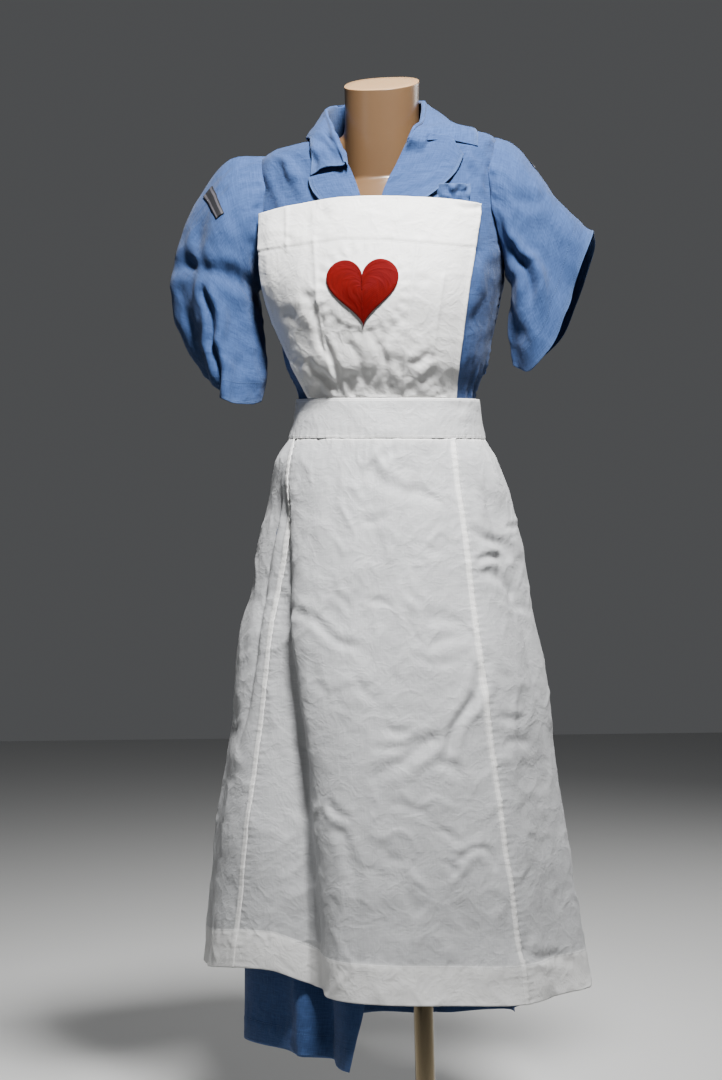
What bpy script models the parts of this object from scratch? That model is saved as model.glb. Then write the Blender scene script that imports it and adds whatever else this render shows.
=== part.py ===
"""Nurse's uniform on a limbless dress form: a short-sleeved blue cotton dress with an
open collar, under a starched white bib apron.

Row frame: metres, +Z up, the front of the uniform faces -Y, and the origin is the middle
of the underside of the stand's base plate.  Angles around the body start at the front
and grow towards +X.  Every cloth piece is an open surface worked out from the tables of
sections below, and Solidify gives it its thickness.
"""
import math
from collections import namedtuple

import bmesh
import bpy
from mathutils import Vector

# Driving sizes
CLOTH = 0.0015            # thickness of the dress and apron walls
SEAM = 0.0004             # gap between two pieces that are sewn edge to edge
LAP = 0.0005              # gap between a piece and the one it lies on
POLE_RADIUS = 0.0135
BASE_RADIUS = 0.180
BASE_THICKNESS = 0.008
WAIST_SEAM = 1.035        # height of the dress's waist seam, under the apron's band
BAND_TOP = 1.0575         # the apron's waistband
BAND_BOTTOM = 1.0040
APRON_HEM = 0.2830        # at the middle of the front

# Sections of the dress form, from the neck down, with the bodice's ease over each
Section = namedtuple("Section", "z left right front back cx cy tilt ease")
FORM = [
    Section(1.4760, .0500, .0500, .052, .052, -.024, -.002, .00, .0030),
    Section(1.4450, .0490, .0490, .051, .051, -.025, .003, .00, .0030),
    Section(1.4200, .0510, .0510, .053, .053, -.026, .008, .00, .0030),
    Section(1.4120, .0630, .0630, .056, .061, -.027, .011, .01, .0034),
    Section(1.4090, .0860, .0860, .060, .069, -.028, .012, .02, .0036),
    Section(1.4055, .1130, .1130, .066, .077, -.028, .012, .03, .0038),
    Section(1.3995, .1400, .1380, .073, .084, -.028, .012, .04, .0056),
    Section(1.3840, .1580, .1540, .081, .091, -.028, .012, .04, .0072),
    Section(1.3480, .1670, .1630, .092, .098, -.028, .012, .04, .0062),
    Section(1.2980, .1670, .1630, .106, .102, -.028, .010, .03, .0060),
    Section(1.2450, .1580, .1560, .120, .103, -.028, .008, .02, .0090),
    Section(1.1950, .1450, .1440, .128, .100, -.027, .006, .01, .0110),
    Section(1.1500, .1320, .1310, .118, .095, -.026, .005, .00, .0130),
    Section(1.1050, .1210, .1190, .102, .088, -.026, .004, -.01, .0150),
    Section(1.0650, .1150, .1130, .093, .085, -.027, .003, -.02, .0036),
    Section(1.0350, .1130, .1110, .091, .085, -.027, .003, -.02, .0050),
    Section(0.9850, .1240, .1210, .094, .094, -.029, .003, -.02, .0050),
    Section(0.9200, .1450, .1410, .102, .108, -.030, .003, -.01, .0050),
    Section(0.8600, .1570, .1530, .108, .118, -.032, .003, .00, .0050),
    Section(0.8100, .1580, .1540, .107, .116, -.032, .003, .00, .0050),
    Section(0.7860, .1480, .1440, .099, .106, -.032, .003, .00, .0050),
]
FORM_POWER = 2.3          # squareness of the form's sections
NECK_SLANT = 0.16         # rise of the neck's cut face towards the back

# Rings of the two skirts, from the waist down, sharing one line of centres
Ring = namedtuple("Ring", "z left right front back cx cy")
APRON_RINGS = [
    Ring(1.0600, .1235, .1235, .1015, .0960, -.0270, .003),
    Ring(1.0040, .1320, .1320, .1110, .1060, -.0300, .003),
    Ring(0.9780, .1520, .1490, .1180, .1190, -.0310, .003),
    Ring(0.9350, .1640, .1660, .1270, .1350, -.0310, .003),
    Ring(0.8600, .1820, .1810, .1430, .1500, -.0310, .003),
    Ring(0.8000, .1920, .1900, .1550, .1600, -.0310, .003),
    Ring(0.7350, .2080, .2040, .1680, .1680, -.0320, .002),
    Ring(0.6550, .2150, .2150, .1820, .1760, -.0320, .001),
    Ring(0.5900, .2170, .2180, .1920, .1820, -.0330, .000),
    Ring(0.4800, .2340, .2320, .2070, .1900, -.0340, .000),
    Ring(0.3800, .2440, .2430, .2190, .1960, -.0350, .000),
    Ring(0.2600, .2560, .2550, .2320, .2020, -.0350, .000),
]
DRESS_RINGS = [
    Ring(1.0350, .1180, .1160, .0960, .0900, -.0270, .003),
    Ring(1.0000, .1240, .1230, .1020, .0960, -.0300, .003),
    Ring(0.9750, .1420, .1400, .1090, .1100, -.0310, .003),
    Ring(0.9350, .1560, .1550, .1170, .1260, -.0310, .003),
    Ring(0.8600, .1720, .1690, .1290, .1400, -.0310, .003),
    Ring(0.7350, .1860, .1790, .1480, .1540, -.0320, .002),
    Ring(0.5900, .1930, .1800, .1680, .1680, -.0330, .000),
    Ring(0.4800, .1950, .1790, .1800, .1760, -.0340, .000),
    Ring(0.3000, .1980, .1760, .1980, .1870, -.0350, .000),
    Ring(0.1800, .1980, .1730, .2060, .1930, -.0350, .000),
]
SKIRT_POWER = 2.2
NEST = 0.0050             # the dress's skirt stays this far inside the apron's outer face

# Long folds: angle and half-width in degrees, the height each starts at, and how far it
# stands out (or in, if negative) at the hem
Fold = namedtuple("Fold", "angle width start reach")
APRON_FOLDS = [
    Fold(-40, 15, 0.93, -0.052),
    Fold(-66, 9, 0.88, 0.008),
    Fold(-88, 8, 0.95, 0.010),
    Fold(-18, 12, 0.80, 0.004),
    Fold(24, 12, 0.70, -0.007),
    Fold(44, 10, 0.85, 0.006),
    Fold(66, 9, 0.95, -0.010),
    Fold(85, 8, 0.97, 0.010),
    Fold(103, 8, 0.98, -0.014),
    Fold(120, 8, 0.98, 0.012),
    Fold(138, 8, 0.98, -0.012),
    Fold(-106, 8, 0.98, -0.014),
    Fold(-123, 8, 0.98, 0.012),
    Fold(-140, 8, 0.98, -0.012),
]
DRESS_FOLDS = [
    Fold(-46, 15, 0.80, -0.030),
    Fold(-22, 9, 0.60, 0.006),
    Fold(-75, 10, 0.85, 0.008),
    Fold(-100, 10, 0.90, -0.016),
    Fold(-125, 10, 0.95, 0.012),
    Fold(-150, 9, 0.95, -0.014),
    Fold(-172, 9, 0.95, 0.010),
    Fold(162, 9, 0.95, -0.012),
    Fold(138, 10, 0.95, 0.012),
    Fold(112, 10, 0.90, -0.014),
    Fold(84, 10, 0.85, 0.008),
    Fold(60, 10, 0.80, -0.012),
]

# Edges of the bodice panels: section number, then angles in degrees from the front.
# fold is where the neckline turns back, front_edge and back_edge bound the armhole.
Cut = namedtuple("Cut", "s fold front_edge back_edge")
CUTS = [
    Cut(3.50, 80, 90, 90),
    Cut(4.00, 70, 90, 90),
    Cut(5.00, 52, 90, 90),
    Cut(6.00, 38, 90, 90),
    Cut(6.60, 32, 88, 92),
    Cut(7.00, 28, 79, 101),
    Cut(8.00, 15, 70, 112),
    Cut(9.00, 4, 69, 113),
    Cut(9.50, 0, 72, 110),
    Cut(10.00, 0, 78, 104),
    Cut(10.50, 0, 88, 92),
    Cut(11.00, 0, 90, 90),
    Cut(16.00, 0, 90, 90),
]
TIP, ARMPIT = 6.55, 10.5  # section numbers of the armhole's top and bottom

# The apron's cut, as x at heights down the front
Line = namedtuple("Line", "z left right")
BIB_EDGES = [
    Line(1.3080, -.1860, .1120),
    Line(1.2680, -.1870, .1070),
    Line(1.2290, -.1865, .1020),
    Line(1.1900, -.1800, .0950),
    Line(1.1500, -.1690, .0880),
    Line(1.1030, -.1480, .0800),
    Line(1.0610, -.1260, .0720),
]
BIB_RISE = 0.0130         # the top edge's middle stands above its corners
BIB_LIFT = 0.0062         # its outer face over the bodice
GORE_SEAMS = [
    Line(1.0035, -.1456, .0705),
    Line(0.8900, -.1590, .0860),
    Line(0.7400, -.1800, .1030),
    Line(0.5600, -.1970, .1250),
    Line(0.3600, -.2210, .1490),
    Line(0.2400, -.2360, .1620),
]
BACK_EDGE = [(1.01, 158), (0.80, 153), (0.50, 148), (0.20, 144)]   # height, degrees

# The dress skirt's front edges and hem: height or angle, then value
LEFT_FRONT_EDGE = [(1.04, 0.0), (0.60, 0.0), (0.40, -1.0), (0.28, -4.0), (0.18, -12.0)]
RIGHT_FRONT_EDGE = [(1.04, 0.0), (0.80, 4.0), (0.60, 14.0), (0.40, 34.0), (0.25, 48.0)]
DRESS_HEM = [(-180, .184), (-120, .196), (-92, .206), (-50, .200), (-10, .189), (0, .188)]
DRESS_HEM_RIGHT = [(0, .295), (45, .290), (60, .275), (92, .240), (125, .205), (180, .184)]

# Sleeves: rows of flattened rings from the armhole out, each by its outer and inner ends.
# bow is how far the front and the back reach beyond the line between those ends.
Cuff = namedtuple("Cuff", "outer_x outer_z inner_x inner_z depth y bow")
RIGHT_ARM = [             # the wearer's right, at -X: it hangs down
    Cuff(-.2420, 1.3840, -.2010, 1.2060, .072, .004, .000),
    Cuff(-.2980, 1.3050, -.1960, 1.1800, .068, .000, .002),
    Cuff(-.3200, 1.2180, -.1900, 1.1350, .064, -.006, .004),
    Cuff(-.3070, 1.1450, -.1885, 1.0920, .062, -.010, .007),
    Cuff(-.2810, 1.0840, -.1960, 1.0620, .062, -.012, .010),
]
LEFT_ARM = [              # the wearer's left, at +X: it stands out stiffly
    Cuff(.1600, 1.3850, .1430, 1.2010, .068, .006, .000),
    Cuff(.1870, 1.3490, .1410, 1.1800, .064, .002, .006),
    Cuff(.2100, 1.3170, .1395, 1.1560, .060, -.002, .013),
    Cuff(.2340, 1.2870, .1405, 1.1270, .055, -.006, .022),
    Cuff(.2550, 1.2600, .1440, 1.0980, .050, -.008, .030),
]
# Each sleeve fold: angle round the sleeve from its outer line, half-width, reach
RIGHT_ARM_FOLDS = [(48, 34, -.026), (100, 22, .008), (215, 26, -.012), (300, 24, -.010)]
LEFT_ARM_FOLDS = [(78, 34, -.022), (138, 20, .009), (240, 28, -.014), (310, 22, .006)]

# The collar, from the wearer's right gorge round the back: where it is sewn (section and
# angle on the bodice), where it rolls over, and where its outer edge lies
Roll = namedtuple("Roll", "sewn_s sewn_a roll_x roll_y roll_z outer_s outer_a")
COLLAR = [
    Roll(7.20, -25, -.0690, -.0890, 1.3765, 7.75, -46),
    Roll(5.90, -36, -.0810, -.0695, 1.4080, 7.00, -56),
    Roll(4.60, -52, -.0890, -.0420, 1.4250, 6.20, -66),
    Roll(4.00, -72, -.0985, -.0120, 1.4420, 5.40, -80),
    Roll(3.75, -92, -.1010, .0140, 1.4530, 5.00, -94),
    Roll(3.65, -120, -.0890, .0420, 1.4600, 5.00, -118),
    Roll(3.60, -150, -.0640, .0640, 1.4630, 5.30, -148),
    Roll(3.60, -180, -.0330, .0730, 1.4630, 5.50, -180),
    Roll(3.60, -210, .0010, .0640, 1.4620, 5.30, -212),
    Roll(3.65, -240, .0240, .0400, 1.4590, 5.00, -240),
    Roll(3.75, -266, .0320, .0090, 1.4540, 4.70, -262),
    Roll(4.00, -286, .0340, -.0160, 1.4400, 4.80, -276),
    Roll(4.70, -304, .0330, -.0420, 1.4220, 5.60, -282),
    Roll(5.70, -318, .0270, -.0705, 1.4115, 6.50, -288),
    Roll(6.70, -329, .0150, -.0835, 1.3945, 7.20, -292),
]
# The lapels from the break of the roll line up: the fold's x and z, the free edge's x and z
Turn = namedtuple("Turn", "fold_x fold_z edge_x edge_z")
LAPELS = {
    "right": [
        Turn(-.0340, 1.2800, -.0460, 1.2800),
        Turn(-.0400, 1.3000, -.0780, 1.3000),
        Turn(-.0465, 1.3242, -.1021, 1.3242),
        Turn(-.0505, 1.3400, -.1095, 1.3338),
        Turn(-.0544, 1.3538, -.1135, 1.3430),
        Turn(-.0645, 1.3670, -.1150, 1.3513),
    ],
    "left": [
        Turn(-.0280, 1.2800, -.0170, 1.2800),
        Turn(-.0215, 1.3000, .0150, 1.3000),
        Turn(-.0140, 1.3270, .0500, 1.3220),
        Turn(-.0070, 1.3450, .0760, 1.3460),
        Turn(.0013, 1.3600, .0848, 1.3600),
        Turn(.0120, 1.3780, .0896, 1.3740),
    ],
}
POCKET = (.0640, .1200, 1.2400, 1.3260)        # x from, x to, z from, z to
MOTIF = (-.0390, 1.1960, .0480)                # middle x and z, and half its width
BUTTON_RADIUS = 0.0075
BUTTON_THICKNESS = 0.0022
SLEEVE_CELLS = (26, 8)
BADGE_RUN = (0.062, 0.030)                     # its length and width round the sleeve
BADGE_RISE = (0.100, 0.045)                    # and along it, both as shares
BADGE_THICKNESS = 0.0010

COLOURS = {               # colour, roughness, metallic
    "dress_cotton": ((0.19, 0.31, 0.58, 1), 0.80, 0.0),
    "apron_cotton": ((0.84, 0.84, 0.82, 1), 0.70, 0.0),
    "red_cotton": ((0.42, 0.02, 0.02, 1), 0.75, 0.0),
    "badge_cloth": ((0.02, 0.02, 0.03, 1), 0.85, 0.0),
    "button_plastic": ((0.75, 0.74, 0.70, 1), 0.35, 0.0),
    "form_shell": ((0.62, 0.42, 0.28, 1), 0.40, 0.0),
    "stand_metal": ((0.55, 0.53, 0.50, 1), 0.25, 1.0),
}


def clear_scene():
    for old in list(bpy.data.objects):
        bpy.data.objects.remove(old)


def material(name):
    """One Principled material, made the first time that it is asked for."""
    found = bpy.data.materials.get(name)
    if found:
        return found
    made = bpy.data.materials.new(name)
    made.use_nodes = True
    shader = made.node_tree.nodes["Principled BSDF"]
    colour, roughness, metallic = COLOURS[name]
    shader.inputs["Base Color"].default_value = colour
    shader.inputs["Roughness"].default_value = roughness
    shader.inputs["Metallic"].default_value = metallic
    return made


def add_object(name, bm, finish, smooth=True):
    """The bmesh as an object of that name in the uniform's collection."""
    bmesh.ops.remove_doubles(bm, verts=bm.verts, dist=0.00001)
    mesh = bpy.data.meshes.new(name)
    bm.to_mesh(mesh)
    bm.free()
    mesh.materials.append(material(finish))
    if smooth:
        mesh.shade_smooth()
    made = bpy.data.objects.new(name, mesh)
    COLLECTION.objects.link(made)
    return made


def solidify(made, thickness, offset=-1.0):
    wall = made.modifiers.new("Wall", "SOLIDIFY")
    wall.thickness = thickness
    wall.offset = offset
    return made


def surface(name, across, down, point, finish, thickness=CLOTH):
    """A cloth panel: a grid whose point at u (across) and v (0 at the foot) is point(u, v)."""
    bm = bmesh.new()
    bmesh.ops.create_grid(bm, x_segments=across, y_segments=down, size=1.0)
    for vert in bm.verts:
        vert.co = point((vert.co.x + 1) / 2, (vert.co.y + 1) / 2)
    return solidify(add_object(name, bm, finish), thickness)


def faceted(point, across, down):
    """The flat cells that a grid of that many columns and rows makes of a smooth surface."""
    def at(u, v):
        i, j = min(int(u * across), across - 1), min(int(v * down), down - 1)
        low = point(i / across, j / down).lerp(point((i + 1) / across, j / down),
                                               u * across - i)
        high = point(i / across, (j + 1) / down).lerp(point((i + 1) / across, (j + 1) / down),
                                                      u * across - i)
        return low.lerp(high, v * down - j)
    return at


def along(rows, place):
    """Values of a table of rows at a row number, on a smooth curve through the rows."""
    place = max(0.0, min(len(rows) - 1.0, place))
    i = min(int(place), len(rows) - 2)
    t = place - i
    near = [rows[max(0, min(len(rows) - 1, k))] for k in (i - 1, i, i + 1, i + 2)]
    return [
        0.5 * (2 * b + (c - a) * t + (2 * a - 5 * b + 4 * c - d) * t * t
               + (3 * b - 3 * c + d - a) * t ** 3)
        for a, b, c, d in zip(*near)
    ]


def between(rows, key):
    """Values of a table at a key in its first column, by straight lines between rows."""
    ordered = sorted(rows)
    if key <= ordered[0][0]:
        return ordered[0][1:]
    for low, high in zip(ordered, ordered[1:]):
        if key <= high[0]:
            t = (key - low[0]) / (high[0] - low[0])
            return [a + (b - a) * t for a, b in zip(low[1:], high[1:])]
    return ordered[-1][1:]


def place_of(rows, z):
    """Row number at which a table that runs downwards reaches a height."""
    for i, (high, low) in enumerate(zip(rows, rows[1:])):
        if z >= low[0]:
            return i + (high[0] - z) / (high[0] - low[0])
    return len(rows) - 1.0


def polar(left, right, front, back, angle, power):
    """Radius of a rounded section whose four half-sizes differ."""
    side = right if math.sin(angle) > 0 else left
    deep = front if math.cos(angle) > 0 else back
    return (abs(math.sin(angle) / side) ** power
            + abs(math.cos(angle) / deep) ** power) ** (-1 / power)


def form_point(s, angle):
    """A point of the dress form at a section number and an angle."""
    row = Section(*along(FORM, s))
    r = polar(row.left, row.right, row.front, row.back, angle, FORM_POWER)
    x, y = r * math.sin(angle), -r * math.cos(angle)
    slant = NECK_SLANT * max(0.0, 1.0 - s)
    return Vector((row.cx + x, row.cy + y, row.z + row.tilt * x + slant * y))


def bodice_point(s, angle, lift=0.0):
    """A point of the bodice's outer face: the form's, moved out by the ease and a lift."""
    step = 0.02
    down = form_point(min(s + step, len(FORM) - 1), angle) - form_point(s - step, angle)
    round_ = form_point(s, angle + step) - form_point(s, angle - step)
    normal = round_.cross(down).normalized()
    normal = -normal
    return form_point(s, angle) + normal * (along(FORM, s)[8] + lift)


def solve(low, high, above):
    """The value between low and high at which above(value) turns from False to True."""
    for _ in range(24):
        middle = (low + high) / 2
        if above(middle):
            high = middle
        else:
            low = middle
    return (low + high) / 2


def chest_point(x, z, lift=0.0):
    """The point over the front of the bodice that has this x and this height."""
    def at(angle):
        s = solve(3.6, 15.5, lambda k: bodice_point(k, angle, lift).z < z)
        return bodice_point(s, angle, lift)
    angle = solve(math.radians(-88), math.radians(88), lambda a: at(a).x > x)
    return at(angle)


def skirt_radius(rows, folds, z, angle):
    """Radius of a skirt at a height and an angle, with its long folds."""
    row = Ring(*along(rows, place_of(rows, z)))
    r = polar(row.left, row.right, row.front, row.back, angle, SKIRT_POWER)
    for fold in folds:
        away = (math.degrees(angle) - fold.angle + 180) % 360 - 180
        grown = max(0.0, (fold.start - z) / (fold.start - APRON_HEM))
        r += fold.reach * grown ** 1.2 * math.exp(-(away / fold.width) ** 2)
    return r


def skirt_centre(z):
    row = Ring(*along(APRON_RINGS, place_of(APRON_RINGS, z)))
    return row.cx, row.cy


def at_radius(z, angle, r, height=None):
    cx, cy = skirt_centre(z)
    return Vector((cx + r * math.sin(angle), cy - r * math.cos(angle),
                   z if height is None else height))


def apron_point(z, angle):
    return at_radius(z, angle, skirt_radius(APRON_RINGS, APRON_FOLDS, z, angle))


def dress_skirt_point(z, angle):
    """The dress's skirt keeps its own shape, but always inside the apron's."""
    own = skirt_radius(DRESS_RINGS, DRESS_FOLDS, z, angle)
    over = skirt_radius(APRON_RINGS, APRON_FOLDS, max(z, APRON_HEM - 0.02), angle)
    return at_radius(z, angle, min(own, over - NEST))


def tilted(z, x, slope):
    """Heights on a line that slopes down towards +X about the middle of the body."""
    return z - slope * (x + 0.030)


def make_form():
    """The smooth shell of the dress form, one closed turn of its sections."""
    bm = bmesh.new()
    bmesh.ops.create_uvsphere(bm, u_segments=32, v_segments=26, radius=1.0)
    last = len(FORM) - 1
    for vert in bm.verts:
        down = math.acos(max(-1.0, min(1.0, vert.co.z))) / math.pi * 26
        angle = math.atan2(vert.co.x, -vert.co.y)
        if down < 0.5 or down > 25.5:
            end = 0 if down < 0.5 else last
            rim = [form_point(end, math.tau * k / 36) for k in range(36)]
            vert.co = sum(rim, Vector()) / 36
        else:
            vert.co = form_point((down - 1) / 24 * last, angle)
    return add_object("form_torso", bm, "form_shell")


def make_stand():
    """Round base plate, pole, and the collar where the pole enters the form."""
    bottom = form_point(len(FORM) - 1, 0).z
    plate_top = BASE_THICKNESS
    pieces = [
        ("stand_base", BASE_RADIUS, 0.0, plate_top, 48),
        ("stand_pole", POLE_RADIUS, plate_top + LAP, bottom - LAP, 24),
    ]
    for name, radius, low, high, segments in pieces:
        bm = bmesh.new()
        bmesh.ops.create_cone(bm, cap_ends=True, segments=segments, radius1=radius,
                              radius2=radius, depth=high - low)
        bmesh.ops.translate(bm, verts=bm.verts, vec=(0, 0, (low + high) / 2))
        made = add_object(name, bm, "stand_metal", smooth=False)
        if name == "stand_base":
            rounding = made.modifiers.new("Rounded rim", "BEVEL")
            rounding.width = 0.002
            rounding.segments = 1
            rounding.limit_method = "ANGLE"
    low, high, bore = plate_top + LAP, plate_top + 0.024, POLE_RADIUS + LAP
    outline = [(bore, low), (0.027, low), (0.027, low + 0.005), (0.020, high - 0.002),
               (0.019, high), (bore, high)]
    ring = bmesh.new()
    corners = [ring.verts.new((x, 0, z)) for x, z in outline]
    edges = [ring.edges.new(pair) for pair in zip(corners, corners[1:] + corners[:1])]
    bmesh.ops.spin(ring, geom=corners + edges, axis=(0, 0, 1), cent=(0, 0, 0), steps=32,
                   angle=math.tau)
    bmesh.ops.remove_doubles(ring, verts=ring.verts, dist=0.00001)
    bmesh.ops.recalc_face_normals(ring, faces=ring.faces)
    add_object("stand_socket", ring, "stand_metal")


def panel_edge(kind, s, side):
    """Angle of a bodice edge on a side, -1 for the wearer's right and 1 for the left."""
    cut = Cut(s, *between(CUTS, s))
    return side * math.radians(getattr(cut, kind))


def make_bodice():
    """Two fronts, open at the neck, and one back, with the armholes cut out of them."""
    top, foot = 3.5, 14.97
    gap = SEAM / 2 / 0.12

    def front(side):
        def point(u, v):
            s = foot + (top - foot) * v
            inner = panel_edge("fold", s, side) + side * gap
            outer = panel_edge("front_edge", s, side) - side * gap
            share = u if side > 0 else 1 - u
            return bodice_point(s, inner + (outer - inner) * share)
        return point

    surface("dress_front_right", 10, 19, front(-1), "dress_cotton")
    surface("dress_front_left", 10, 19, front(1), "dress_cotton")

    def back(u, v):
        s = foot + (top - foot) * v
        low = panel_edge("back_edge", s, 1) + gap
        high = math.tau + panel_edge("back_edge", s, -1) - gap
        return bodice_point(s, low + (high - low) * u)

    surface("dress_back", 18, 19, back, "dress_cotton")


def armhole(turn, side):
    """The armhole's edge, lapped outwards: turn 0 is the shoulder, half a turn the armpit."""
    if turn <= 0.5:
        s = TIP + (ARMPIT - TIP) * turn * 2
        angle = panel_edge("front_edge", s, side)
    else:
        s = TIP + (ARMPIT - TIP) * (1 - turn) * 2
        angle = panel_edge("back_edge", s, side)
    return bodice_point(s, angle, CLOTH + LAP)


def sleeve_ring(cuff, turn, side, folds, share):
    """A flattened ring of a sleeve, with its folds grown by share."""
    outer = Vector((cuff.outer_x, cuff.y, cuff.outer_z))
    inner = Vector((cuff.inner_x, cuff.y, cuff.inner_z))
    centre, half = (outer + inner) / 2, (outer - inner) / 2
    angle = math.tau * turn
    r = 1.0
    for at, width, reach in folds:
        away = (math.degrees(angle) - at + 180) % 360 - 180
        r += reach / cuff.depth * share * math.exp(-(away / width) ** 2)
    beyond = half.cross(Vector((0, 1, 0))).normalized() * -side
    bow = cuff.bow * abs(math.sin(angle)) * (1 - 0.55 * math.cos(angle))
    return (centre + half * (math.cos(angle) * r) + beyond * bow
            - Vector((0, cuff.depth * math.sin(angle) * r, 0)))


def sleeve_point(side, rows, folds):
    def point(turn, v):
        turn = 1 - turn if side > 0 else turn
        place = (1 - v) * len(rows)
        rings = [armhole(turn % 1.0, side)]
        for k, cuff in enumerate(rows):
            rings.append(sleeve_ring(cuff, turn, side, folds, (k + 1) / len(rows)))
        return Vector(along(rings, place))
    return point


def make_sleeves():
    surface("dress_sleeve_right", *SLEEVE_CELLS, sleeve_point(-1, RIGHT_ARM, RIGHT_ARM_FOLDS),
            "dress_cotton")
    surface("dress_sleeve_left", *SLEEVE_CELLS, sleeve_point(1, LEFT_ARM, LEFT_ARM_FOLDS),
            "dress_cotton")


def make_collar():
    """One strip: up from the neck seam, over the roll, and down onto the shoulders."""
    def point(u, v):
        row = Roll(*along(COLLAR, u * (len(COLLAR) - 1)))
        sewn = bodice_point(row.sewn_s, math.radians(row.sewn_a), 0.0019)
        roll = Vector((row.roll_x, row.roll_y, row.roll_z))
        edge = bodice_point(row.outer_s, math.radians(row.outer_a), 0.0030)
        top = roll + Vector((0, 0, 0.0015))
        outward = Vector((edge.x - sewn.x, edge.y - sewn.y, 0)).normalized()
        shape = [edge, edge.lerp(roll, 0.45) + Vector((0, 0, 0.004)),
                 roll + outward * 0.0035 - Vector((0, 0, 0.003)), top,
                 roll - outward * 0.0015 - Vector((0, 0, 0.004)), sewn]
        return Vector(along(shape, v * (len(shape) - 1)))
    surface("dress_collar", 28, 8, point, "dress_cotton", 0.0012)


def make_lapels():
    for name, rows in LAPELS.items():
        def point(u, v, rows=rows, name=name):
            turn = Turn(*along(rows, v * (len(rows) - 1)))
            out = u if name == "left" else 1 - u
            x = turn.fold_x + (turn.edge_x - turn.fold_x) * out
            z = turn.fold_z + (turn.edge_z - turn.fold_z) * out
            return chest_point(x, z, 0.0019 + 0.0035 * out)
        surface("dress_lapel_" + name, 6, 8, point, "dress_cotton", 0.0012)


def make_pocket():
    low_x, high_x, low_z, high_z = POCKET
    surface("dress_pocket", 4, 6, lambda u, v: chest_point(
        low_x + (high_x - low_x) * u, low_z + (high_z - low_z) * v, 0.0012 + LAP),
        "dress_cotton", 0.0012)


def make_dress_skirt():
    """Two fronts that hang open below the waist, and one back."""
    top = WAIST_SEAM - SEAM

    def panel(low_edge, high_edge, hem):
        def point(u, v):
            def angle_at(z):
                return math.radians(low_edge(z) + (high_edge(z) - low_edge(z)) * u)
            foot = between(hem, math.degrees(angle_at(0.25)))[0]
            z = foot + (top - foot) * v
            spot = dress_skirt_point(z, angle_at(z))
            spot.z += tilted(0, spot.x, 0.02) * v
            return spot
        return point

    side = 92.0
    hem_left = [(a, z) for a, z in DRESS_HEM]
    surface("dress_skirt_front_right", 10, 11, panel(
        lambda z: -side + 0.1, lambda z: between(LEFT_FRONT_EDGE, z)[0] - 0.1, hem_left),
        "dress_cotton")
    surface("dress_skirt_front_left", 9, 11, panel(
        lambda z: between(RIGHT_FRONT_EDGE, z)[0] + 0.1, lambda z: side - 0.1,
        DRESS_HEM_RIGHT), "dress_cotton")
    around = DRESS_HEM_RIGHT + [(a + 360, z) for a, z in DRESS_HEM if a > -180]
    surface("dress_skirt_back", 21, 11, panel(
        lambda z: side + 0.1, lambda z: 360 - side - 0.1, around), "dress_cotton")


def seam_angle(z, x):
    return solve(math.radians(-89), math.radians(89), lambda a: apron_point(z, a).x > x)


def make_apron_skirt():
    """A wide front gore and two side gores that wrap round to the back."""
    top = BAND_BOTTOM - SEAM
    gap = SEAM / 2 / 0.15

    def gore(low_edge, high_edge):
        def point(u, v):
            z = APRON_HEM + (top - APRON_HEM) * v
            low, high = low_edge(z) + gap, high_edge(z) - gap
            spot = apron_point(z, low + (high - low) * u)
            spot.z = tilted(spot.z, spot.x, 0.06 * (1 - v) + 0.028 * v)
            return spot
        return point

    def seam(which):
        return lambda z: seam_angle(z, between(GORE_SEAMS, z)[which])

    def back(sign):
        return lambda z: sign * math.radians(between(BACK_EDGE, z)[0])

    surface("apron_skirt_front", 20, 13, gore(seam(0), seam(1)), "apron_cotton")
    surface("apron_skirt_side_right", 15, 13, gore(back(-1), seam(0)), "apron_cotton")
    surface("apron_skirt_side_left", 15, 13, gore(seam(1), back(1)), "apron_cotton")


def make_waistband():
    """The band goes once round the waist and meets at the middle of the back."""
    def point(u, v):
        angle = math.pi * (2 * u - 1) * 0.998
        z = BAND_BOTTOM + (BAND_TOP - BAND_BOTTOM) * v
        spot = at_radius(z, angle, skirt_radius(APRON_RINGS, [], z, angle))
        spot.z = tilted(spot.z, spot.x, 0.028)
        return spot
    surface("apron_waistband", 48, 2, point, "apron_cotton", 0.0020)
    near = 0.975
    across = point(near + 0.004, 0.5) - point(near - 0.004, 0.5)
    rise = point(near, 0.6) - point(near, 0.4)
    add_button("apron_back_button", point(near, 0.5), across.cross(rise).normalized(), 0.0009)


def bib_lift(x, z):
    """How far the bib's outer face stands off the bodice: more over lapels and sleeve."""
    high = max(0.0, min(1.0, (z - 1.265) / 0.030))
    left = max(0.0, min(1.0, (x + 0.105) / 0.020)) * max(0.0, min(1.0, (0.060 - x) / 0.020))
    edge = max(0.0, min(1.0, (-0.150 - x) / 0.030)) * max(0.0, min(1.0, (z - 1.15) / 0.06))
    foot = max(0.0, (1.095 - z) / 0.040)
    return BIB_LIFT + 0.0032 * high * left + 0.0075 * edge - 0.0017 * foot


def make_bib():
    """The bib: sewn into the band at its foot, and pinned to the bodice at its corners."""
    foot = BAND_TOP + SEAM

    def point(u, v):
        bow = BIB_RISE * (1 - (2 * u - 1) ** 2) * v ** 6
        z = foot + (BIB_EDGES[0][0] - foot) * v
        left, right = between(BIB_EDGES, z)
        x = left + (right - left) * u
        level = tilted(z + bow, x, 0.028 * (1 - v))
        return chest_point(x, level, bib_lift(x, level))
    surface("apron_bib", 16, 12, point, "apron_cotton")


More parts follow.
